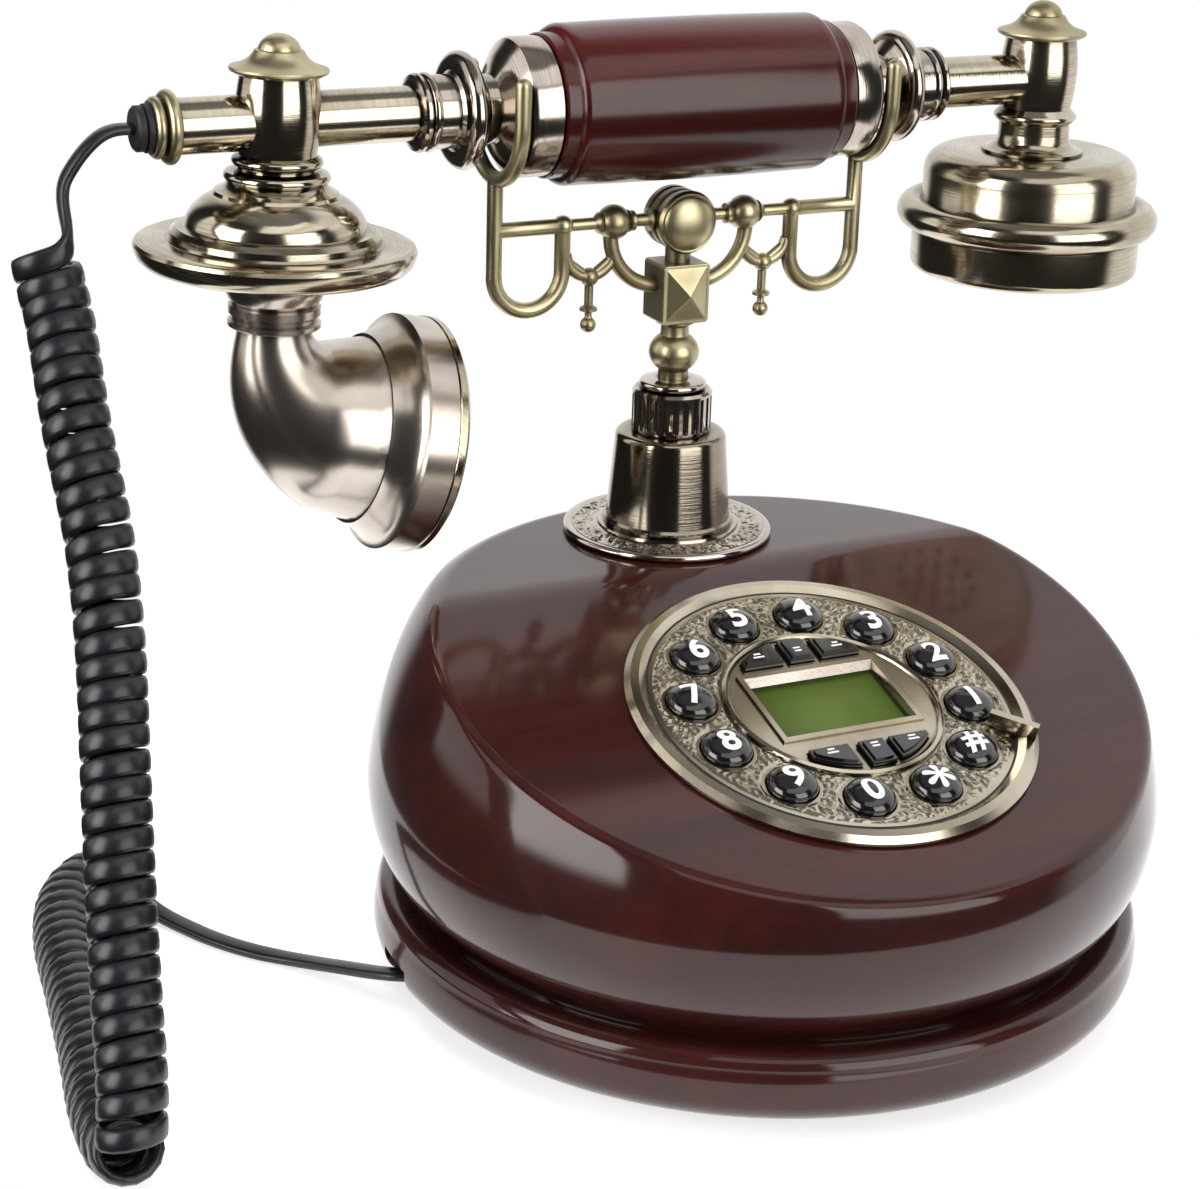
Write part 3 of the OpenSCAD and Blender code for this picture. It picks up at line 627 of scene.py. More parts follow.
# each turned piece's axis: its direction, and a point that it passes through
columnAxis = ((0.0, 0.0, 1.0), (0.0, columnY, 0.0))
handsetAxis = ((1.0, 0.0, 0.0), (0.0, columnY, 0.1874))
mouthAxis = ((0.0, 0.0, 1.0), (-0.0943, columnY, 0.0))
earAxis = ((0.0, 0.0, 1.0), (0.0939, columnY, 0.0))
bronze = metalMaterial("bronze", metalLooks["pewter"], 0.1, 0.004, 0.6, 0.4, 0.3, *handsetAxis)
bronzeElbow = metalMaterial("bronzeElbow", metalLooks["pewter"], 0.22, 0.006, 0.5)
bronzeSaucer = metalMaterial(
    "bronzeSaucer", metalLooks["olive"], 0.11, 0.004, 0.7, 0.5, 0.4, *mouthAxis
)
bronzeHub = metalMaterial("bronzeHub", metalLooks["olive"], 0.08, 0.004, 0.6, 0.4, 0.3, *mouthAxis)
bronzeCup = metalMaterial("bronzeCup", metalLooks["olive"], 0.12, 0.004, 0.6, 0.4, 0.4, *earAxis)
tubeMetal = metalMaterial(
    "tubeMetal", metalLooks["olive"], 0.12, 0.003, 0.4, 0.25, 0.4, *handsetAxis
)
gunmetal = metalMaterial(
    "gunmetal", metalLooks["gunmetal"], 0.09, 0.004, 0.4, 0.2, 0.3, *columnAxis
)
collarMetal = metalMaterial("collarMetal", metalLooks["pewter"], 0.1, 0.0016, 0.4)
brass = metalMaterial("brass", metalLooks["olive"], 0.16, 0.002, 0.5)
reliefBrass = metalMaterial("reliefBrass", metalLooks["olive"], 0.2, 0.0012, 0.4)
reliefGunmetal = metalMaterial("reliefGunmetal", metalLooks["pewter"], 0.16, 0.0016, 0.4)
gold = metalMaterial("gold", metalLooks["gold"], 0.34, 0.007, 0.7)


def plainMaterial(name, colour, roughness, metallic=0.0, coat=0.0, alpha=1.0):
    material, _, shader = newMaterial(name)
    settle(
        shader,
        {
            "Base Color": colour,
            "Roughness": roughness,
            "Metallic": metallic,
            "Coat Weight": coat,
            "Coat Roughness": 0.04,
            "Alpha": alpha,
        },
    )
    return material


vinyl = plainMaterial("vinyl", tone(24, 25, 30), 0.32)
rubber = plainMaterial("rubber", tone(24, 24, 26), 0.55)
keyBlack = plainMaterial("keyBlack", tone(16, 16, 19), 0.16, coat=1.0)
printWhite = plainMaterial("printWhite", tone(236, 236, 234), 0.4)
steel = plainMaterial("steel", tone(170, 170, 172), 0.3, metallic=1.0)
blackPlastic = plainMaterial("blackPlastic", tone(22, 22, 24), 0.5)
blackPlate = plainMaterial("blackPlate", tone(30, 30, 32), 0.45)
boardGreen = plainMaterial("boardGreen", tone(30, 90, 55), 0.45)
iron = plainMaterial("iron", tone(70, 70, 74), 0.6)
silicone = plainMaterial("silicone", tone(70, 74, 80), 0.6)


# A green panel with a painted glow, brightest round a point near its middle, and faint clouds.
def displayMaterial():
    material, tree, shader = newMaterial("lcdGreen")
    place = objectPlace(tree)
    cloud = noise(tree, place, Scale=60.0, Detail=3.0)
    away = vector2(tree, "DISTANCE", place, (-0.001, -0.0325, 0.069))
    # painted bright spot round a point near the display's middle
    glow = spread(tree, away, 0.0, 0.02, 1.0, 0.0)
    mixed = math2(tree, "MULTIPLY_ADD", cloud, 0.5, math2(tree, "MULTIPLY", glow, 0.6))
    base = mixColour(tree, mixed, tone(58, 78, 14), tone(100, 120, 40))
    tree.links.new(base, shader.inputs["Base Color"])
    tree.links.new(base, shader.inputs["Emission Color"])
    # the panel emits light though it is no lamp: painted glow
    settle(shader, {"Emission Strength": 0.16, "Roughness": 0.5})
    return material


lcdGreen = displayMaterial()
clearWindow = plainMaterial("clearWindow", tone(70, 84, 50), 0.06, alpha=0.14)
plugClear = plainMaterial("plugClear", tone(205, 208, 200), 0.15)
print("stage: materials")


def geometryTree(name, inputs):
    tree = bpy.data.node_groups.new(name, "GeometryNodeTree")
    inputs = {"Geometry": ("Geometry", None), **inputs, "Material": ("Material", None)}
    made = addInputs(tree, inputs)
    tree.interface.new_socket("Geometry", in_out="OUTPUT", socket_type="NodeSocketGeometry")
    return tree, tree.nodes.new("NodeGroupInput"), made


def closeTree(tree, start, geometry):
    real = node(tree, "GeometryNodeRealizeInstances", {"Geometry": geometry})
    coat = node(
        tree,
        "GeometryNodeSetMaterial",
        {"Geometry": real.outputs[0], "Material": start.outputs["Material"]},
    )
    tree.links.new(coat.outputs[0], tree.nodes.new("NodeGroupOutput").inputs[0])


# Welds a CAD node's loose triangles and keeps only its real edges sharp.
def softenTree():
    tree, start, made = geometryTree("soften", {"Angle": ("Float", 0.6)})
    weld = node(
        tree,
        "GeometryNodeMergeByDistance",
        {"Geometry": start.outputs["Geometry"], "Distance": 0.000002},
    )
    angle = node(tree, "GeometryNodeInputMeshEdgeAngle").outputs["Unsigned Angle"]
    sharp = node(
        tree,
        "FunctionNodeCompare",
        {0: angle, 1: start.outputs["Angle"]},
        data_type="FLOAT",
        operation="GREATER_THAN",
    )
    normal = node(
        tree,
        "GeometryNodeSetMeshNormal",
        {
            "Mesh": weld.outputs[0],
            "Remove Custom": True,
            "Edge Sharpness": sharp.outputs[0],
            "Face Sharpness": False,
        },
        mode="SHARPNESS",
    )
    closeTree(tree, start, normal.outputs[0])
    return tree, made


soften, softenInputs = softenTree()


def finishNode(name, material, angle=30, edge=0.0):
    piece = nodes[name]
    modifier = piece.modifiers.new("soften", "NODES")
    modifier.node_group = soften
    modifier[softenInputs["Angle"]] = math.radians(angle)
    modifier[softenInputs["Material"]] = material
    if edge:
        bevel(piece, edge, 2, angle + 2)
    paint(piece, material)


cadLooks = {
    "bottom_plate": blackPlate,
    "bottom_screws": steel,
    "dial_plate": brass,
    "display_module": lcdGreen,
    "display_window": clearWindow,
    "keypad_mat": silicone,
    "circuit_boards": boardGreen,
    "ringer": blackPlastic,
    "ballast_weight": iron,
    "column_flange": collarMetal,
    "column_cone": gunmetal,
    "fluted_collar": collarMetal,
    "hook_switch": steel,
    "return_spring": steel,
    "jacks": blackPlastic,
    "handset_plug": plugClear,
    "cradle_fork": gold,
    "cradle_medallion": gold,
    "cradle_block": gold,
    "cradle_stem": gold,
    "grip": gripWood,
    "grip_ferrules": bronze,
    "neck_rings": bronze,
    "tie_rod": steel,
    "handset_tubes": tubeMetal,
    "mouth_hub": bronzeHub,
    "ear_hub": bronzeCup,
    "hub_finials": gold,
    "cord_end_ring": gold,
    "cord_grommet": rubber,
    "mouth_saucer": bronzeSaucer,
    "mouth_elbow": bronzeElbow,
    "mouth_cap": bronzeSaucer,
    "microphone": blackPlastic,
    "receiver_cup": bronzeCup,
    "ear_cap": bronzeCup,
    "ear_speaker": blackPlastic,
}
# how many degrees stay smooth, and how wide the edges are eased, where not 30 and 0
cadEdges = {
    "bottom_plate": (30, 0.2),
    "bottom_screws": (30, 0.2),
    "return_spring": (60, 0.0),
    "jacks": (30, 0.2),
    "handset_plug": (30, 0.3),
    "cradle_fork": (40, 0.0),
    "cradle_block": (20, 0.25),
    "cord_grommet": (30, 0.25),
    "mouth_cap": (30, 0.2),
    "ear_cap": (30, 0.2),
}
for name, material in cadLooks.items():
    finishNode(name, material, *cadEdges.get(name, ()))
for name in nodes:
    if name.startswith(("key_", "function_key_")):
        finishNode(name, keyBlack)
paint(cordPiece, vinyl)
print("stage: CAD pieces")


bodySizes = {
    "belly": 87.5,
    "bellyHeight": 46,
    "foot": 73,
    "footHeight": 22.3,
    "roof": 72,
    "roofHeight": 86.6,
    "crease": 23.8,
    "slope": math.tan(math.radians(dialSeat["tilt"])),
    "dialMiddle": dialSeat["middle"][1],
    "roofPower": 1.5,
    "footPower": 2.1,
    "creaseBlend": 1.1,
    "rimRound": 2.0,
    "beadOut": 1.0,
    "beadHalf": 1.1,
    "beadTop": 2.3,
    "wellDepth": 3,
    "wall": 12,
    "inner": 66,
    "dialHole": 41,
    "around": 288,
}


# The turned body: its roof slopes to the front, and its rim and crease are eased.
def buildBody(sizes):
    tilt = math.atan(sizes["slope"])

    def sideRadius(z):
        high = z > sizes["bellyHeight"]
        end = sizes["roof"] if high else sizes["foot"]
        top = sizes["roofHeight"] if high else sizes["footHeight"]
        power = sizes["roofPower"] if high else sizes["footPower"]
        part = abs(z - sizes["bellyHeight"]) / abs(top - sizes["bellyHeight"])
        fall = 1 - max(0, 1 - min(1, part) ** power) ** (1 / power)
        return sizes["belly"] - (sizes["belly"] - end) * fall

    def roofAt(x, y):
        flat = sizes["roofHeight"]
        ramp = flat - (sizes["crease"] - y) * sizes["slope"]
        blend = sizes["creaseBlend"]
        near = max(blend - abs(flat - ramp), 0) / blend
        return min(flat, ramp) - near * near * blend / 4

    count = sizes["around"]
    columns = []
    for i in range(count):
        angle = 2 * math.pi * i / count
        c, s = math.cos(angle), math.sin(angle)
        low, high = sizes["bellyHeight"], sizes["roofHeight"]
        for _ in range(40):
            z = (low + high) / 2
            r = sideRadius(z)
            if z < roofAt(r * c, r * s):
                low = z
            else:
                high = z
        edgeZ, edgeR = low, sideRadius(low)
        ease = sizes["rimRound"]
        startZ = edgeZ - ease
        column = []
        foot, base, out = sizes["foot"], sizes["footHeight"], sizes["beadOut"]
        half, above = sizes["beadHalf"], sizes["beadTop"]
        for k in range(9):
            turnBy = math.pi * k / 8 - math.pi / 2
            column.append((foot + out * math.cos(turnBy), base + half + half * math.sin(turnBy)))
        for k in range(1, 33):
            z = base + above + (startZ - base - above) * k / 32
            column.append((sideRadius(z), z))
        side = Vector(column[-1])
        insideR = edgeR - ease
        inside = Vector((insideR, roofAt(insideR * c, insideR * s)))
        corner = Vector((edgeR, edgeZ))
        for k in range(1, 8):
            t = k / 8
            point = side * (1 - t) ** 2 + corner * 2 * t * (1 - t) + inside * t * t
            column.append(tuple(point))
        points = [Vector((r * c, r * s, z)) for r, z in column]
        holeY = sizes["dialMiddle"] + sizes["dialHole"] * s * math.cos(tilt)
        hole = Vector((sizes["dialHole"] * c, holeY, 0))
        rim = Vector((insideR * c, insideR * s, 0))
        for k in range(71):
            flat = rim.lerp(hole, k / 70)
            points.append(Vector((flat.x, flat.y, roofAt(flat.x, flat.y))))
        down = Vector((0, math.sin(tilt), -math.cos(tilt)))
        well = points[-1] + down * sizes["wellDepth"]
        points.append(well)
        points.append(well + down * (sizes["wall"] - sizes["wellDepth"]))
        ceiling = min(points[-1].z, roofAt(sizes["inner"] * c, sizes["inner"] * s) - sizes["wall"])
        points.append(Vector((sizes["inner"] * c, sizes["inner"] * s, ceiling)))
        points.append(Vector((sizes["inner"] * c, sizes["inner"] * s, base)))
        columns.append(points)
    rows = len(columns[0])
    allPoints = [p * mm for column in columns for p in column]
    piece = addMesh("body_shell", allPoints, wrapFaces(count, rows))
    outward(piece)
    sharpen(piece, 30)
    return piece


# The fork's stem passes through a round hole in the roof.
stemHole = {"place": (0, 49), "radius": 6, "low": 50, "high": 110, "around": 48}


def buildBore(sizes):
    points = []
    count = sizes["around"]
    for z in (sizes["low"], sizes["high"]):
        for k in range(count):
            angle = 2 * math.pi * k / count
            x = sizes["place"][0] + sizes["radius"] * math.cos(angle)
            y = sizes["place"][1] + sizes["radius"] * math.sin(angle)
            points.append(Vector((x, y, z)) * mm)
    faces = [tuple(range(count)), tuple(range(count, 2 * count))]
    for k in range(count):
        m = (k + 1) % count
        faces.append((k, m, count + m, count + k))
    bore = addMesh("bore", points, faces, smooth=False)
    outward(bore)
    return bore


bodyShell = buildBody(bodySizes)
subtract(bodyShell, buildBore(stemHole))
sharpen(bodyShell, 30)
fit(bodyShell, darkWood, "base")
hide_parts("upper_body")
print("stage: body")


plinthSizes = {
    "floor": 69,
    "floorHeight": 3,
    "belly": 86,
    "bellyHeight": 12.5,
    "wallTop": 85.2,
    "wallHeight": 18.0,
    "round": 3.4,
    "roundTurn": 102,
    "power": 2.2,
    "cove": 75.4,
    "coveHeight": 20.4,
    "seat": 73.2,
    "seatHeight": 22.25,
    "inner": 61.5,
}


def plinthOutline(sizes):
    outline = [(sizes["inner"], sizes["floorHeight"]), (sizes["floor"], sizes["floorHeight"])]
    rise = sizes["bellyHeight"] - sizes["floorHeight"]
    for k in range(1, 17):
        e = 1 - k / 16
        fall = 1 - max(0, 1 - e ** sizes["power"]) ** (1 / sizes["power"])
        r = sizes["belly"] - (sizes["belly"] - sizes["floor"]) * fall
        outline.append((r, sizes["floorHeight"] + rise * (1 - e)))
    for k in range(1, 7):
        e = k / 6
        r = sizes["belly"] - (sizes["belly"] - sizes["wallTop"]) * e * e
        z = sizes["bellyHeight"] + (sizes["wallHeight"] - sizes["bellyHeight"]) * e
        outline.append((r, z))
    centre = sizes["wallTop"] - sizes["round"]
    for k in range(1, 13):
        angle = math.radians(sizes["roundTurn"]) * k / 12
        r = centre + sizes["round"] * math.cos(angle)
        outline.append((r, sizes["wallHeight"] + sizes["round"] * math.sin(angle)))
    lastR, lastZ = outline[-1]
    for k in range(1, 9):
        share = (1 - math.cos(math.pi * k / 8)) / 2
        outline.append(
            (lastR + (sizes["cove"] - lastR) * k / 8, lastZ + (sizes["coveHeight"] - lastZ) * share)
        )
    outline += [
        (sizes["seat"] + 0.7, sizes["coveHeight"] + 0.3),
        (sizes["seat"], sizes["coveHeight"] + 1),
        (sizes["seat"], sizes["seatHeight"]),
        (sizes["inner"], sizes["seatHeight"]),
    ]
    return outline


plinthRing = turned(
    "plinth_ring", plinthOutline(plinthSizes), darkWood, "base", count=288
)
# the openings for the two jacks: (turned by, middle)
jackSizes = {"at": ((180, -5), (90, 0)), "in": 55, "out": 95, "half": 6.6, "low": 4, "high": 13.2}
jackBoxes = []
for turnBy, middle in jackSizes["at"]:
    spin = Matrix.Rotation(math.radians(turnBy), 4, "Z")
    near = (jackSizes["in"], middle - jackSizes["half"], jackSizes["low"])
    far = (jackSizes["out"], middle + jackSizes["half"], jackSizes["high"])
    jackBoxes.append((spin, near, far))
cutBy(plinthRing, jackBoxes)
sharpen(plinthRing, turnedSharp)
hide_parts("plinth")
print("stage: plinth")


# Four soft feet under the plinth's edge.
footSizes = {
    "from": 63.5,
    "outline": [(0, 0), (4.6, 0), (5.2, 0.2), (5.5, 0.7), (5.7, 1.6), (5.8, 3.0), (0, 3.0)],
}
for turnBy in (45, 135, 225, 315):
    angle = math.radians(turnBy)
    spot = Vector((math.cos(angle), math.sin(angle), 0)) * footSizes["from"] * mm
    foot = turned(
        "rubber_foot_" + str(turnBy), footSizes["outline"], rubber, "base",
        Matrix.Translation(spot), 40,
    )
    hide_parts("rubber_feet")


reliefFade = 0.7
reliefMargin = 0.3


# A fine ring of cells for cast relief. Its mask falls to 0 at its edges and holes.
def reliefGround(name, inner, outer, step, holes, holeRadius):
    columns = round(2 * math.pi * outer / step)
    rows = round((outer - inner) / step)
    points, masks = [], []
    for i in range(columns):
        angle = 2 * math.pi * i / columns
        for k in range(rows + 1):
            r = inner + (outer - inner) * k / rows
            spot = Vector((r * math.cos(angle), r * math.sin(angle), 0))
            room = min(r - inner, outer - r)
            if holes:
                room = min(room, min((spot - hole).length for hole in holes) - holeRadius)
            masks.append(max(0, min(1, room / reliefFade)))
            points.append(spot * mm)
    faces = []
    for i in range(columns):
        j = (i + 1) % columns
        for k in range(rows):
            a = i * (rows + 1) + k
            b = j * (rows + 1) + k
            middle = (points[a] + points[b + 1]) / 2 / mm
            away = min((middle - hole).length for hole in holes) if holes else holeRadius
            if away >= holeRadius - reliefMargin:
                faces.append((a, b, b + 1, a + 1))
    piece = addMesh(name, points, faces)
    mask = piece.data.attributes.new("mask", "FLOAT", "POINT")
    mask.data.foreach_set("value", masks)
    return piece


def castReliefTree():
    tree, start, made = geometryTree(
        "castRelief",
        {"Height": ("Float", 0.0006), "Scale": ("Float", 900.0), "Seed": ("Float", 4.0)},
    )
    place = tree.nodes.new("GeometryNodeInputPosition").outputs[0]
    seed = start.outputs["Seed"]
    swirl = noise(tree, place, "4D", W=seed, Scale=420.0, Detail=1.0, Distortion=1.6)
    cells = node(
        tree,
        "ShaderNodeTexVoronoi",
        {"Vector": place, "W": seed, "Scale": start.outputs["Scale"]},
        voronoi_dimensions="4D",
    ).outputs["Distance"]
    pebble = spread(tree, cells, 0.25, 0.75, 1.0, 0.0)
    scroll = spread(tree, swirl, 0.45, 0.58)
    both = math2(tree, "MULTIPLY_ADD", scroll, 0.5, math2(tree, "MULTIPLY", pebble, 0.5))
    mask = node(tree, "GeometryNodeInputNamedAttribute", {"Name": "mask"}, data_type="FLOAT")
    raised = math2(tree, "MULTIPLY", both, start.outputs["Height"])
    raised = math2(tree, "ADD", raised, 0.00012)
    lifted = math2(tree, "MULTIPLY", raised, mask.outputs["Attribute"])
    sunk = math2(tree, "SUBTRACT", lifted, 0.00006)
    offset = node(tree, "ShaderNodeCombineXYZ", {2: sunk}).outputs[0]
    move = node(
        tree,
        "GeometryNodeSetPosition",
        {"Geometry": start.outputs["Geometry"], "Offset": offset},
    )
    closeTree(tree, start, move.outputs[0])
    return tree, made


castRelief, castInputs = castReliefTree()


def buildRelief(name, sizes, material, body, place, holes=(), holeRadius=0):
    piece = reliefGround(name, sizes["inner"], sizes["outer"], sizes["step"], holes, holeRadius)
    modifier = piece.modifiers.new("relief", "NODES")
    modifier.node_group = castRelief
    modifier[castInputs["Height"]] = sizes["height"] * mm
    modifier[castInputs["Scale"]] = sizes["scale"]
    modifier[castInputs["Seed"]] = sizes["seed"]
    modifier[castInputs["Material"]] = material
    bake(piece)
    piece.data.transform(place)
    piece.data.update()
    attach(piece, body)
    return piece


dialFrame = Matrix.Translation(Vector(dialSeat["middle"]) * mm) @ Matrix.Rotation(
    math.radians(dialSeat["tilt"]), 4, "X"
)
digits = {
    "marks": "1234567890*#",
    "names": [*"1234567890", "star", "hash"],
    "ring": 30.8,
    "first": -14,
    "step": 30,
    "height": 8.5,
    "starScale": 1.75,
    "weight": 0.22,
    "domeRadius": 5.4,
    "domeBase": 1.9,
    "domeRise": 2.7,
    "lift": 0.03,
    "longest": 0.6,
}


def keySpot(index, sizes):
    angle = math.radians(sizes["first"] + sizes["step"] * index)
    return Vector((math.cos(angle), math.sin(angle), 0)) * sizes["ring"]


# Turns the faces of a flat mark to look out of the dial.
def outwardUp(piece):
    face = dialFrame.to_3x3() @ Vector((0, 0, 1))
    with opened(piece.data) as work:
        wrong = [f for f in work.faces if f.normal.dot(face) < 0]
        bmesh.ops.reverse_faces(work, faces=wrong)


# A digit, cut fine enough to lie on its key's dome.
def buildDigit(index, sizes):
    curve = bpy.data.curves.new("digit", "FONT")
    curve.body = sizes["marks"][index]
    curve.size = sizes["height"] * (sizes["starScale"] if sizes["marks"][index] == "*" else 1)
    curve.align_x = "CENTER"
    curve.offset = sizes["weight"]
    curve.resolution_u = 6
    curve.fill_mode = "FRONT"
    holder = bpy.data.objects.new("digit", curve)
    collection.objects.link(holder)
    bpy.context.view_layer.update()
    mesh = bpy.data.meshes.new_from_object(
        holder.evaluated_get(bpy.context.evaluated_depsgraph_get())
    )
    bpy.data.objects.remove(holder)
    bpy.data.curves.remove(curve)
    with opened(mesh) as work:
        bmesh.ops.remove_doubles(work, verts=work.verts, dist=0.001)
        bmesh.ops.triangulate(work, faces=work.faces)
        for _ in range(4):
            longOnes = [e for e in work.edges if e.calc_length() > sizes["longest"]]
            if not longOnes:
                break
            bmesh.ops.subdivide_edges(work, edges=longOnes, cuts=1)
            bmesh.ops.triangulate(work, faces=work.faces)
        xs = [v.co.x for v in work.verts]
        ys = [v.co.y for v in work.verts]
        middle = Vector(((min(xs) + max(xs)) / 2, (min(ys) + max(ys)) / 2, 0))
        centre = keySpot(index, sizes)
        for vert in work.verts:
            flat = vert.co - middle
            reach = min(0.97, flat.length / sizes["domeRadius"])
            height = sizes["domeBase"] + sizes["domeRise"] * math.sqrt(1 - reach * reach)
            vert.co = (centre + Vector((flat.x, flat.y, height + sizes["lift"]))) * mm
            vert.co = dialFrame @ vert.co
    mesh.shade_smooth()
    piece = bpy.data.objects.new("digit_" + sizes["names"][index], mesh)
    collection.objects.link(piece)
    outwardUp(piece)
    fit(piece, printWhite, "key_" + sizes["names"][index] + "_body")


for index in range(12):
    buildDigit(index, digits)
print("stage: digits")

keyHoles = [keySpot(index, digits) for index in range(12)]
dialRelief = {
    "inner": 24.2, "outer": 38.6, "step": 0.34, "height": 0.55, "scale": 780.0, "seed": 4.0,
}
flangeRelief = {
    "inner": 17.0, "outer": 22.2, "step": 0.3, "height": 0.7, "scale": 800.0, "seed": 9.0,
}
buildRelief(
    "dial_relief", dialRelief, reliefBrass, "base",
    dialFrame @ Matrix.Translation((0, 0, 0.00142)), keyHoles, 6.3,
)
buildRelief(
    "flange_relief", flangeRelief, reliefGunmetal, "base",
    Matrix.Translation((0, columnY, 0.0884)),
)
groove = {"radius": 39.9, "width": 0.9, "low": 1.3, "high": 1.44}
near, far = groove["radius"] - groove["width"] / 2, groove["radius"] + groove["width"] / 2
turned(
    "dial_groove",
    [(near, groove["low"]), (far, groove["low"]), (far, groove["high"]), (near, groove["high"])],
    blackPlate, "base", dialFrame, 128,
)
print("stage: relief")

# Sloped strips from the bezel down to the window, deepest at the top.
display = {"x": 15.68, "low": -8.68, "high": 11.28, "top": 2.28, "glass": 0.83}
inset = {"left": 0.5, "right": 0.5, "low": 0.3, "high": 1.7}
outerCorners = [
    (-display["x"], display["low"]), (display["x"], display["low"]),
    (display["x"], display["high"]), (-display["x"], display["high"]),
]
innerCorners = [
    (-display["x"] + inset["left"], display["low"] + inset["low"]),
    (display["x"] - inset["right"], display["low"] + inset["low"]),
    (display["x"] - inset["right"], display["high"] - inset["high"]),
    (-display["x"] + inset["left"], display["high"] - inset["high"]),
]
stripPoints = []
for corners, level in (
    (outerCorners, display["top"]),
    (innerCorners, display["glass"]),
    (outerCorners, display["glass"]),
):
    stripPoints += [dialFrame @ (Vector((x, y, level)) * mm) for x, y in corners]
stripFaces = []
for k in range(4):
    m = (k + 1) % 4
    stripFaces += [(k, m, 4 + m, 4 + k), (4 + k, 4 + m, 8 + m, 8 + k), (8 + k, 8 + m, m, k)]
strips = addMesh("display_slopes", stripPoints, stripFaces, smooth=False)
outward(strips)
fit(strips, collarMetal, "base")

# Two short white strokes on each function key: (middle x, middle y, width).
strokes = [
    (-9.6, 16.4, 2.6), (-9.6, 17.4, 1.6), (0.2, 16.6, 1.6), (0.2, 17.6, 1.6),
    (9.6, 16.4, 2.6), (9.6, 17.4, 1.4), (-9.2, -16.6, 2.6), (-9.2, -15.6, 1.6),
    (1.0, -16.8, 1.8), (1.0, -15.8, 1.8), (10.2, -16.6, 2.6), (10.2, -15.6, 1.8),
]
strokeHeight, strokeLevel = 0.5, 3.34
for index in range(6):
    points, faces = [], []
    for x, y, width in strokes[2 * index : 2 * index + 2]:
        first = len(points)
        for dx, dy in ((-1, -1), (1, -1), (1, 1), (-1, 1)):
            corner = Vector((x + dx * width / 2, y + dy * strokeHeight / 2, strokeLevel))
            points.append(dialFrame @ (corner * mm))
        faces.append((first, first + 1, first + 2, first + 3))
    mark = addMesh("function_mark_" + str(index + 1), points, faces, smooth=False)
    fit(mark, printWhite, "function_key_" + str(index + 1) + "_body")

# The medallion's full dome, the bells under the finials and the sprigs of the drops.
facing = Matrix.Translation((0, columnY, 0.1603)) @ Matrix.Rotation(math.radians(90), 4, "X")
domeSizes = {"radius": 6.4, "base": 4.3, "rise": 2.75, "back": 4.2}
dome = [(0, domeSizes["back"])]
for k in range(11):
    angle = math.radians(9 * k)
    height = domeSizes["base"] + domeSizes["rise"] * math.sin(angle)
    dome.append((domeSizes["radius"] * math.cos(angle), height))
turned("medallion_dome", dome, gold, "cradle", facing)
bell = [
    (4.3, 198.6), (9.6, 197.4), (10.2, 197.6), (10.4, 198.0), (10.2, 198.4), (8.8, 198.8),
    (7.4, 199.4), (6.2, 200.3), (5.5, 201.2), (5.1, 201.9), (4.3, 202.1),
]
mouthHub = Vector((-94.3, 49, 187.4)) * mm
lean = Matrix.Translation(mouthHub) @ Matrix.Rotation(math.radians(1.9), 4, "Y")
lean = lean @ Matrix.Translation((0, 0, -mouthHub.z))
turned("mouth_finial_bell", bell, gold, "handset", lean)
upright = Matrix.Translation((0.0939, columnY, 0))
turned("ear_finial_bell", bell, gold, "handset", upright)
seam = [
    (6.9, 171.5), (13.4, 172.2), (13.0, 172.9), (11.6, 173.6), (10.7, 174.3), (10.3, 174.9),
    (6.9, 174.9),
]
turned("mouth_neck", seam, bronzeHub, "handset", lean)


def arc(radius, degrees):
    angles = [math.radians(a) for a in degrees]
    return [(radius * math.cos(a), radius * math.sin(a)) for a in angles]


# Beads on the cross bar, and the branches that carry the two drops.
beadEnd = [(0, -4.05), (2.2, -4.0), (2.5, -3.5)]
beadOutline = beadEnd + arc(3.9, range(-56, 57, 8)) + [(r, -z) for r, z in reversed(beadEnd)]
ballOutline = [(0, -2.1)] + arc(2.1, range(-80, 81, 10)) + [(0, 2.1)]


def roundSection(radius):
    def section(index, tangent):
        across = tangent.cross(Vector((0, 1, 0))).normalized() * radius
        return across, Vector((0, radius, 0)), 1.0

    return section


branches = {
    "outer": [(27.9, 154.0), (26.9, 151.4), (24.8, 149.5), (22, 148.7)],
    "inner": [(16.3, 153.8), (17.2, 151.4), (19.3, 149.5), (22, 148.7)],
}
for side, label in ((-1, "left"), (1, "right")):
    bar = Matrix.Translation((side * 0.0164, columnY, 0.1607))
    bar = bar @ Matrix.Rotation(math.pi / 2, 4, "Y")
    turned("bar_bead_" + label, beadOutline, gold, "cradle", bar, 48)
    turned(
        "drop_ball_" + label, ballOutline, gold, "cradle",
        Matrix.Translation((side * 0.022, columnY, 0.1487)), 36,
    )
    for which, line in branches.items():
        route = [Vector((side * x, 49, z)) * mm for x, z in line]
        branch = sweep(
            "drop_branch_" + which + "_" + label, curveThrough(route, 6), 20,
            roundSection(1.3 * mm),
        )
        fit(branch, gold, "cradle")
print("stage: small metal")


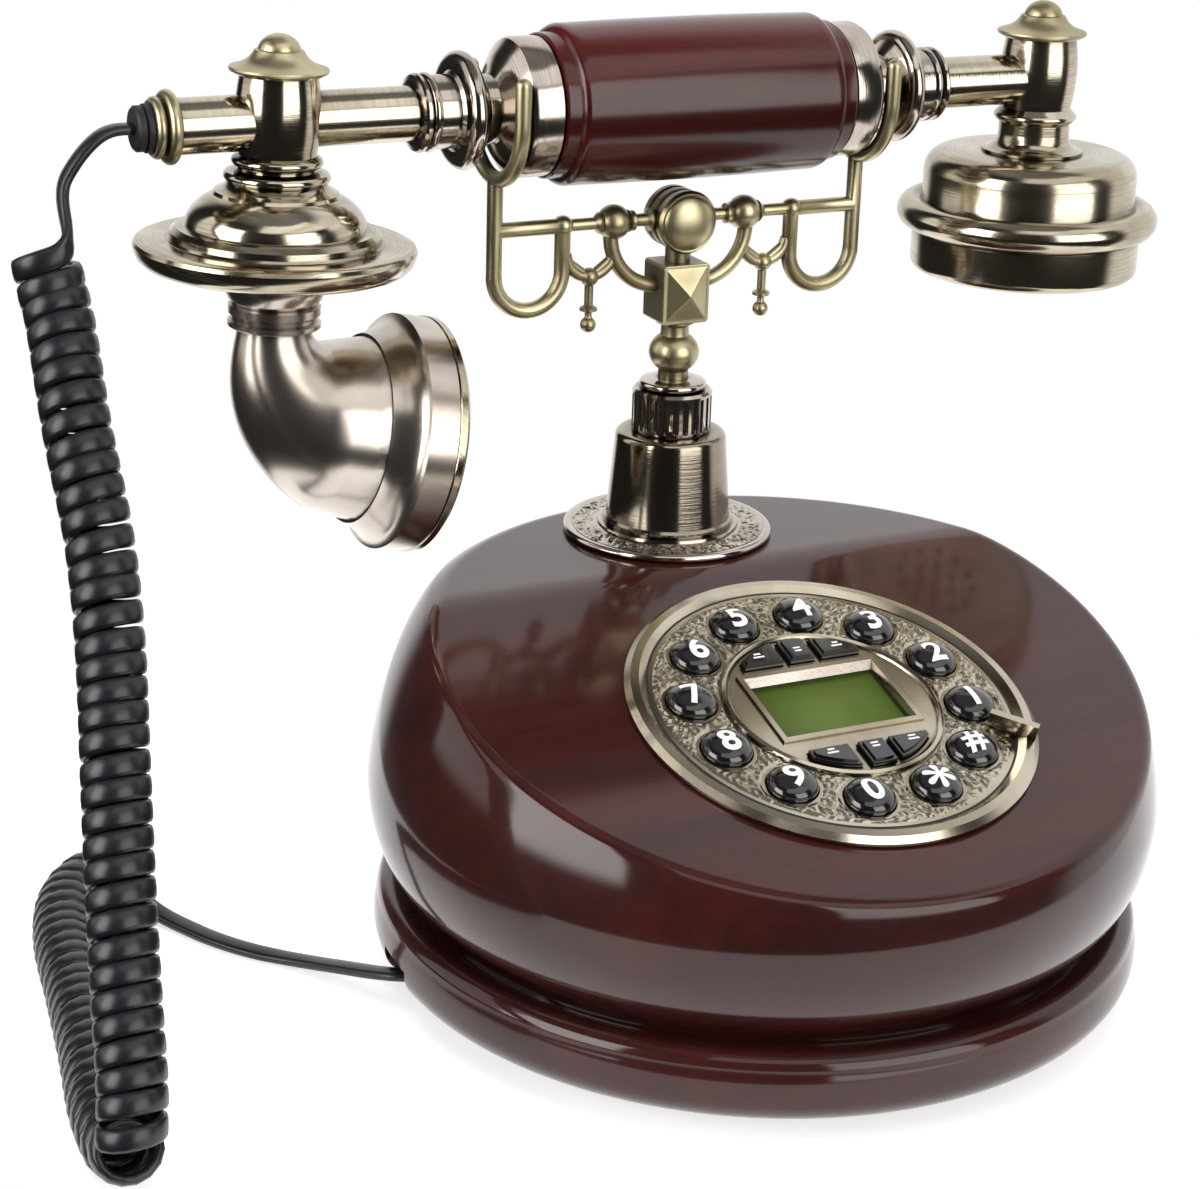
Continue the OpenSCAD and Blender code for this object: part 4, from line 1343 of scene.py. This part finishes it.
# A round table top under a pale backdrop; the room in front of it is dark but for its cards.
studio = {
    "tableMiddle": (0.03, 0.03),
    "tableRadius": 0.215,
    "around": 96,
    "tableColour": (0.72, 0.72, 0.72, 1),
    "tableGlow": 0.66,
    "room": 0.025,
    "roof": (52, 75, 0.25),
    "backdrop": {"middle": 36, "half": 61, "low": -95, "high": 57, "soft": 8, "glow": 0.62},
    "cardSoft": (1.5, 2),
    # (from azimuth, to azimuth, from elevation, to elevation, strength)
    "cards": {
        "left": (168, 205, -5, 38, 5.8),
        "right": (264, 308, -8, 36, 3.2),
        "leftSoft": (132, 168, -3, 45, 1.1),
        "high": (228, 335, 40, 66, 1.2),
    },
}
middleX, middleY = studio["tableMiddle"]
rim = []
for i in range(studio["around"]):
    angle = 2 * math.pi * i / studio["around"]
    x = middleX + studio["tableRadius"] * math.cos(angle)
    rim.append((x, middleY + studio["tableRadius"] * math.sin(angle), 0))
floor = addMesh("floor", rim, [tuple(range(studio["around"]))], smooth=False)
floorMaterial, floorTree, floorShader = newMaterial("floor")
settle(
    floorShader,
    {"Base Color": studio["tableColour"], "Roughness": 0.8, "Emission Color": (1, 1, 1, 1)},
)
seen = floorTree.nodes.new("ShaderNodeLightPath").outputs
shown = math2(floorTree, "MAXIMUM", seen["Is Camera Ray"], seen["Is Glossy Ray"])
shown = math2(floorTree, "MAXIMUM", shown, seen["Is Transmission Ray"])
floorTree.links.new(
    math2(floorTree, "MULTIPLY", shown, studio["tableGlow"]),
    floorShader.inputs["Emission Strength"],
)
paint(floor, floorMaterial)

world = bpy.data.worlds.new("world")
bpy.context.scene.world = world
world.use_nodes = True
sky = world.node_tree
sky.nodes.clear()
direction = node(sky, "ShaderNodeTexCoord").outputs["Generated"]
parts = node(sky, "ShaderNodeSeparateXYZ", {0: direction}).outputs
elevation = math2(sky, "ARCSINE", parts["Z"])
azimuth = math2(sky, "ARCTAN2", parts["Y"], parts["X"])


# 1 between low and high, in degrees, with soft edges
def band(value, low, high, soft):
    up = spread(sky, value, math.radians(low - soft), math.radians(low + soft))
    down = spread(sky, value, math.radians(high - soft), math.radians(high + soft), 1, 0)
    return math2(sky, "MULTIPLY", up, down)


# azimuth measured from middle, kept within half a turn
def awayFrom(middle):
    gap = math2(sky, "SUBTRACT", azimuth, math.radians(middle))
    return math2(sky, "WRAP", gap, math.pi, -math.pi)


drop = studio["backdrop"]
behind = band(awayFrom(drop["middle"]), -drop["half"], drop["half"], drop["soft"])
inHeight = band(elevation, drop["low"], drop["high"], drop["soft"])
behind = math2(sky, "MULTIPLY", behind, inHeight)
roofFrom, roofTo, roofGlow = studio["roof"]
roof = spread(
    sky, elevation, math.radians(roofFrom), math.radians(roofTo), studio["room"], roofGlow
)
total = math2(sky, "MULTIPLY_ADD", behind, drop["glow"], roof)
acrossSoft, upSoft = studio["cardSoft"]
for low, high, floorward, upward, strength in studio["cards"].values():
    card = band(awayFrom((low + high) / 2), (low - high) / 2, (high - low) / 2, acrossSoft)
    card = math2(sky, "MULTIPLY", card, band(elevation, floorward, upward, upSoft))
    total = math2(sky, "MULTIPLY_ADD", card, strength, total)
paths = sky.nodes.new("ShaderNodeLightPath").outputs
seenWhite = math2(sky, "MAXIMUM", paths["Is Camera Ray"], paths["Is Transmission Ray"])
mirrored = math2(sky, "MULTIPLY", paths["Is Glossy Ray"], behind)
seenWhite = math2(sky, "MAXIMUM", seenWhite, mirrored)
white = node(sky, "ShaderNodeBackground", {"Color": (1, 1, 1, 1), "Strength": 1.0})
room = node(sky, "ShaderNodeBackground", {"Color": (1.0, 0.985, 0.96, 1), "Strength": total})
mixed = node(
    sky, "ShaderNodeMixShader", {0: seenWhite, 1: room.outputs[0], 2: white.outputs[0]}
)
node(sky, "ShaderNodeOutputWorld", {"Surface": mixed.outputs[0]})

overhead = {"place": (-0.15, -0.1, 1.2), "aim": (0.0, 0.0, 0.1), "size": 0.9, "power": 9}
light = bpy.data.lights.new("overhead", "AREA")
light.shape = "RECTANGLE"
light.size = light.size_y = overhead["size"]
light.energy = overhead["power"]
lamp = bpy.data.objects.new("overhead", light)
lamp.location = overhead["place"]
away = Vector(overhead["aim"]) - Vector(overhead["place"])
lamp.rotation_euler = away.to_track_quat("-Z", "Y").to_euler()
lamp.visible_glossy = False
collection.objects.link(lamp)
print("stage: light")
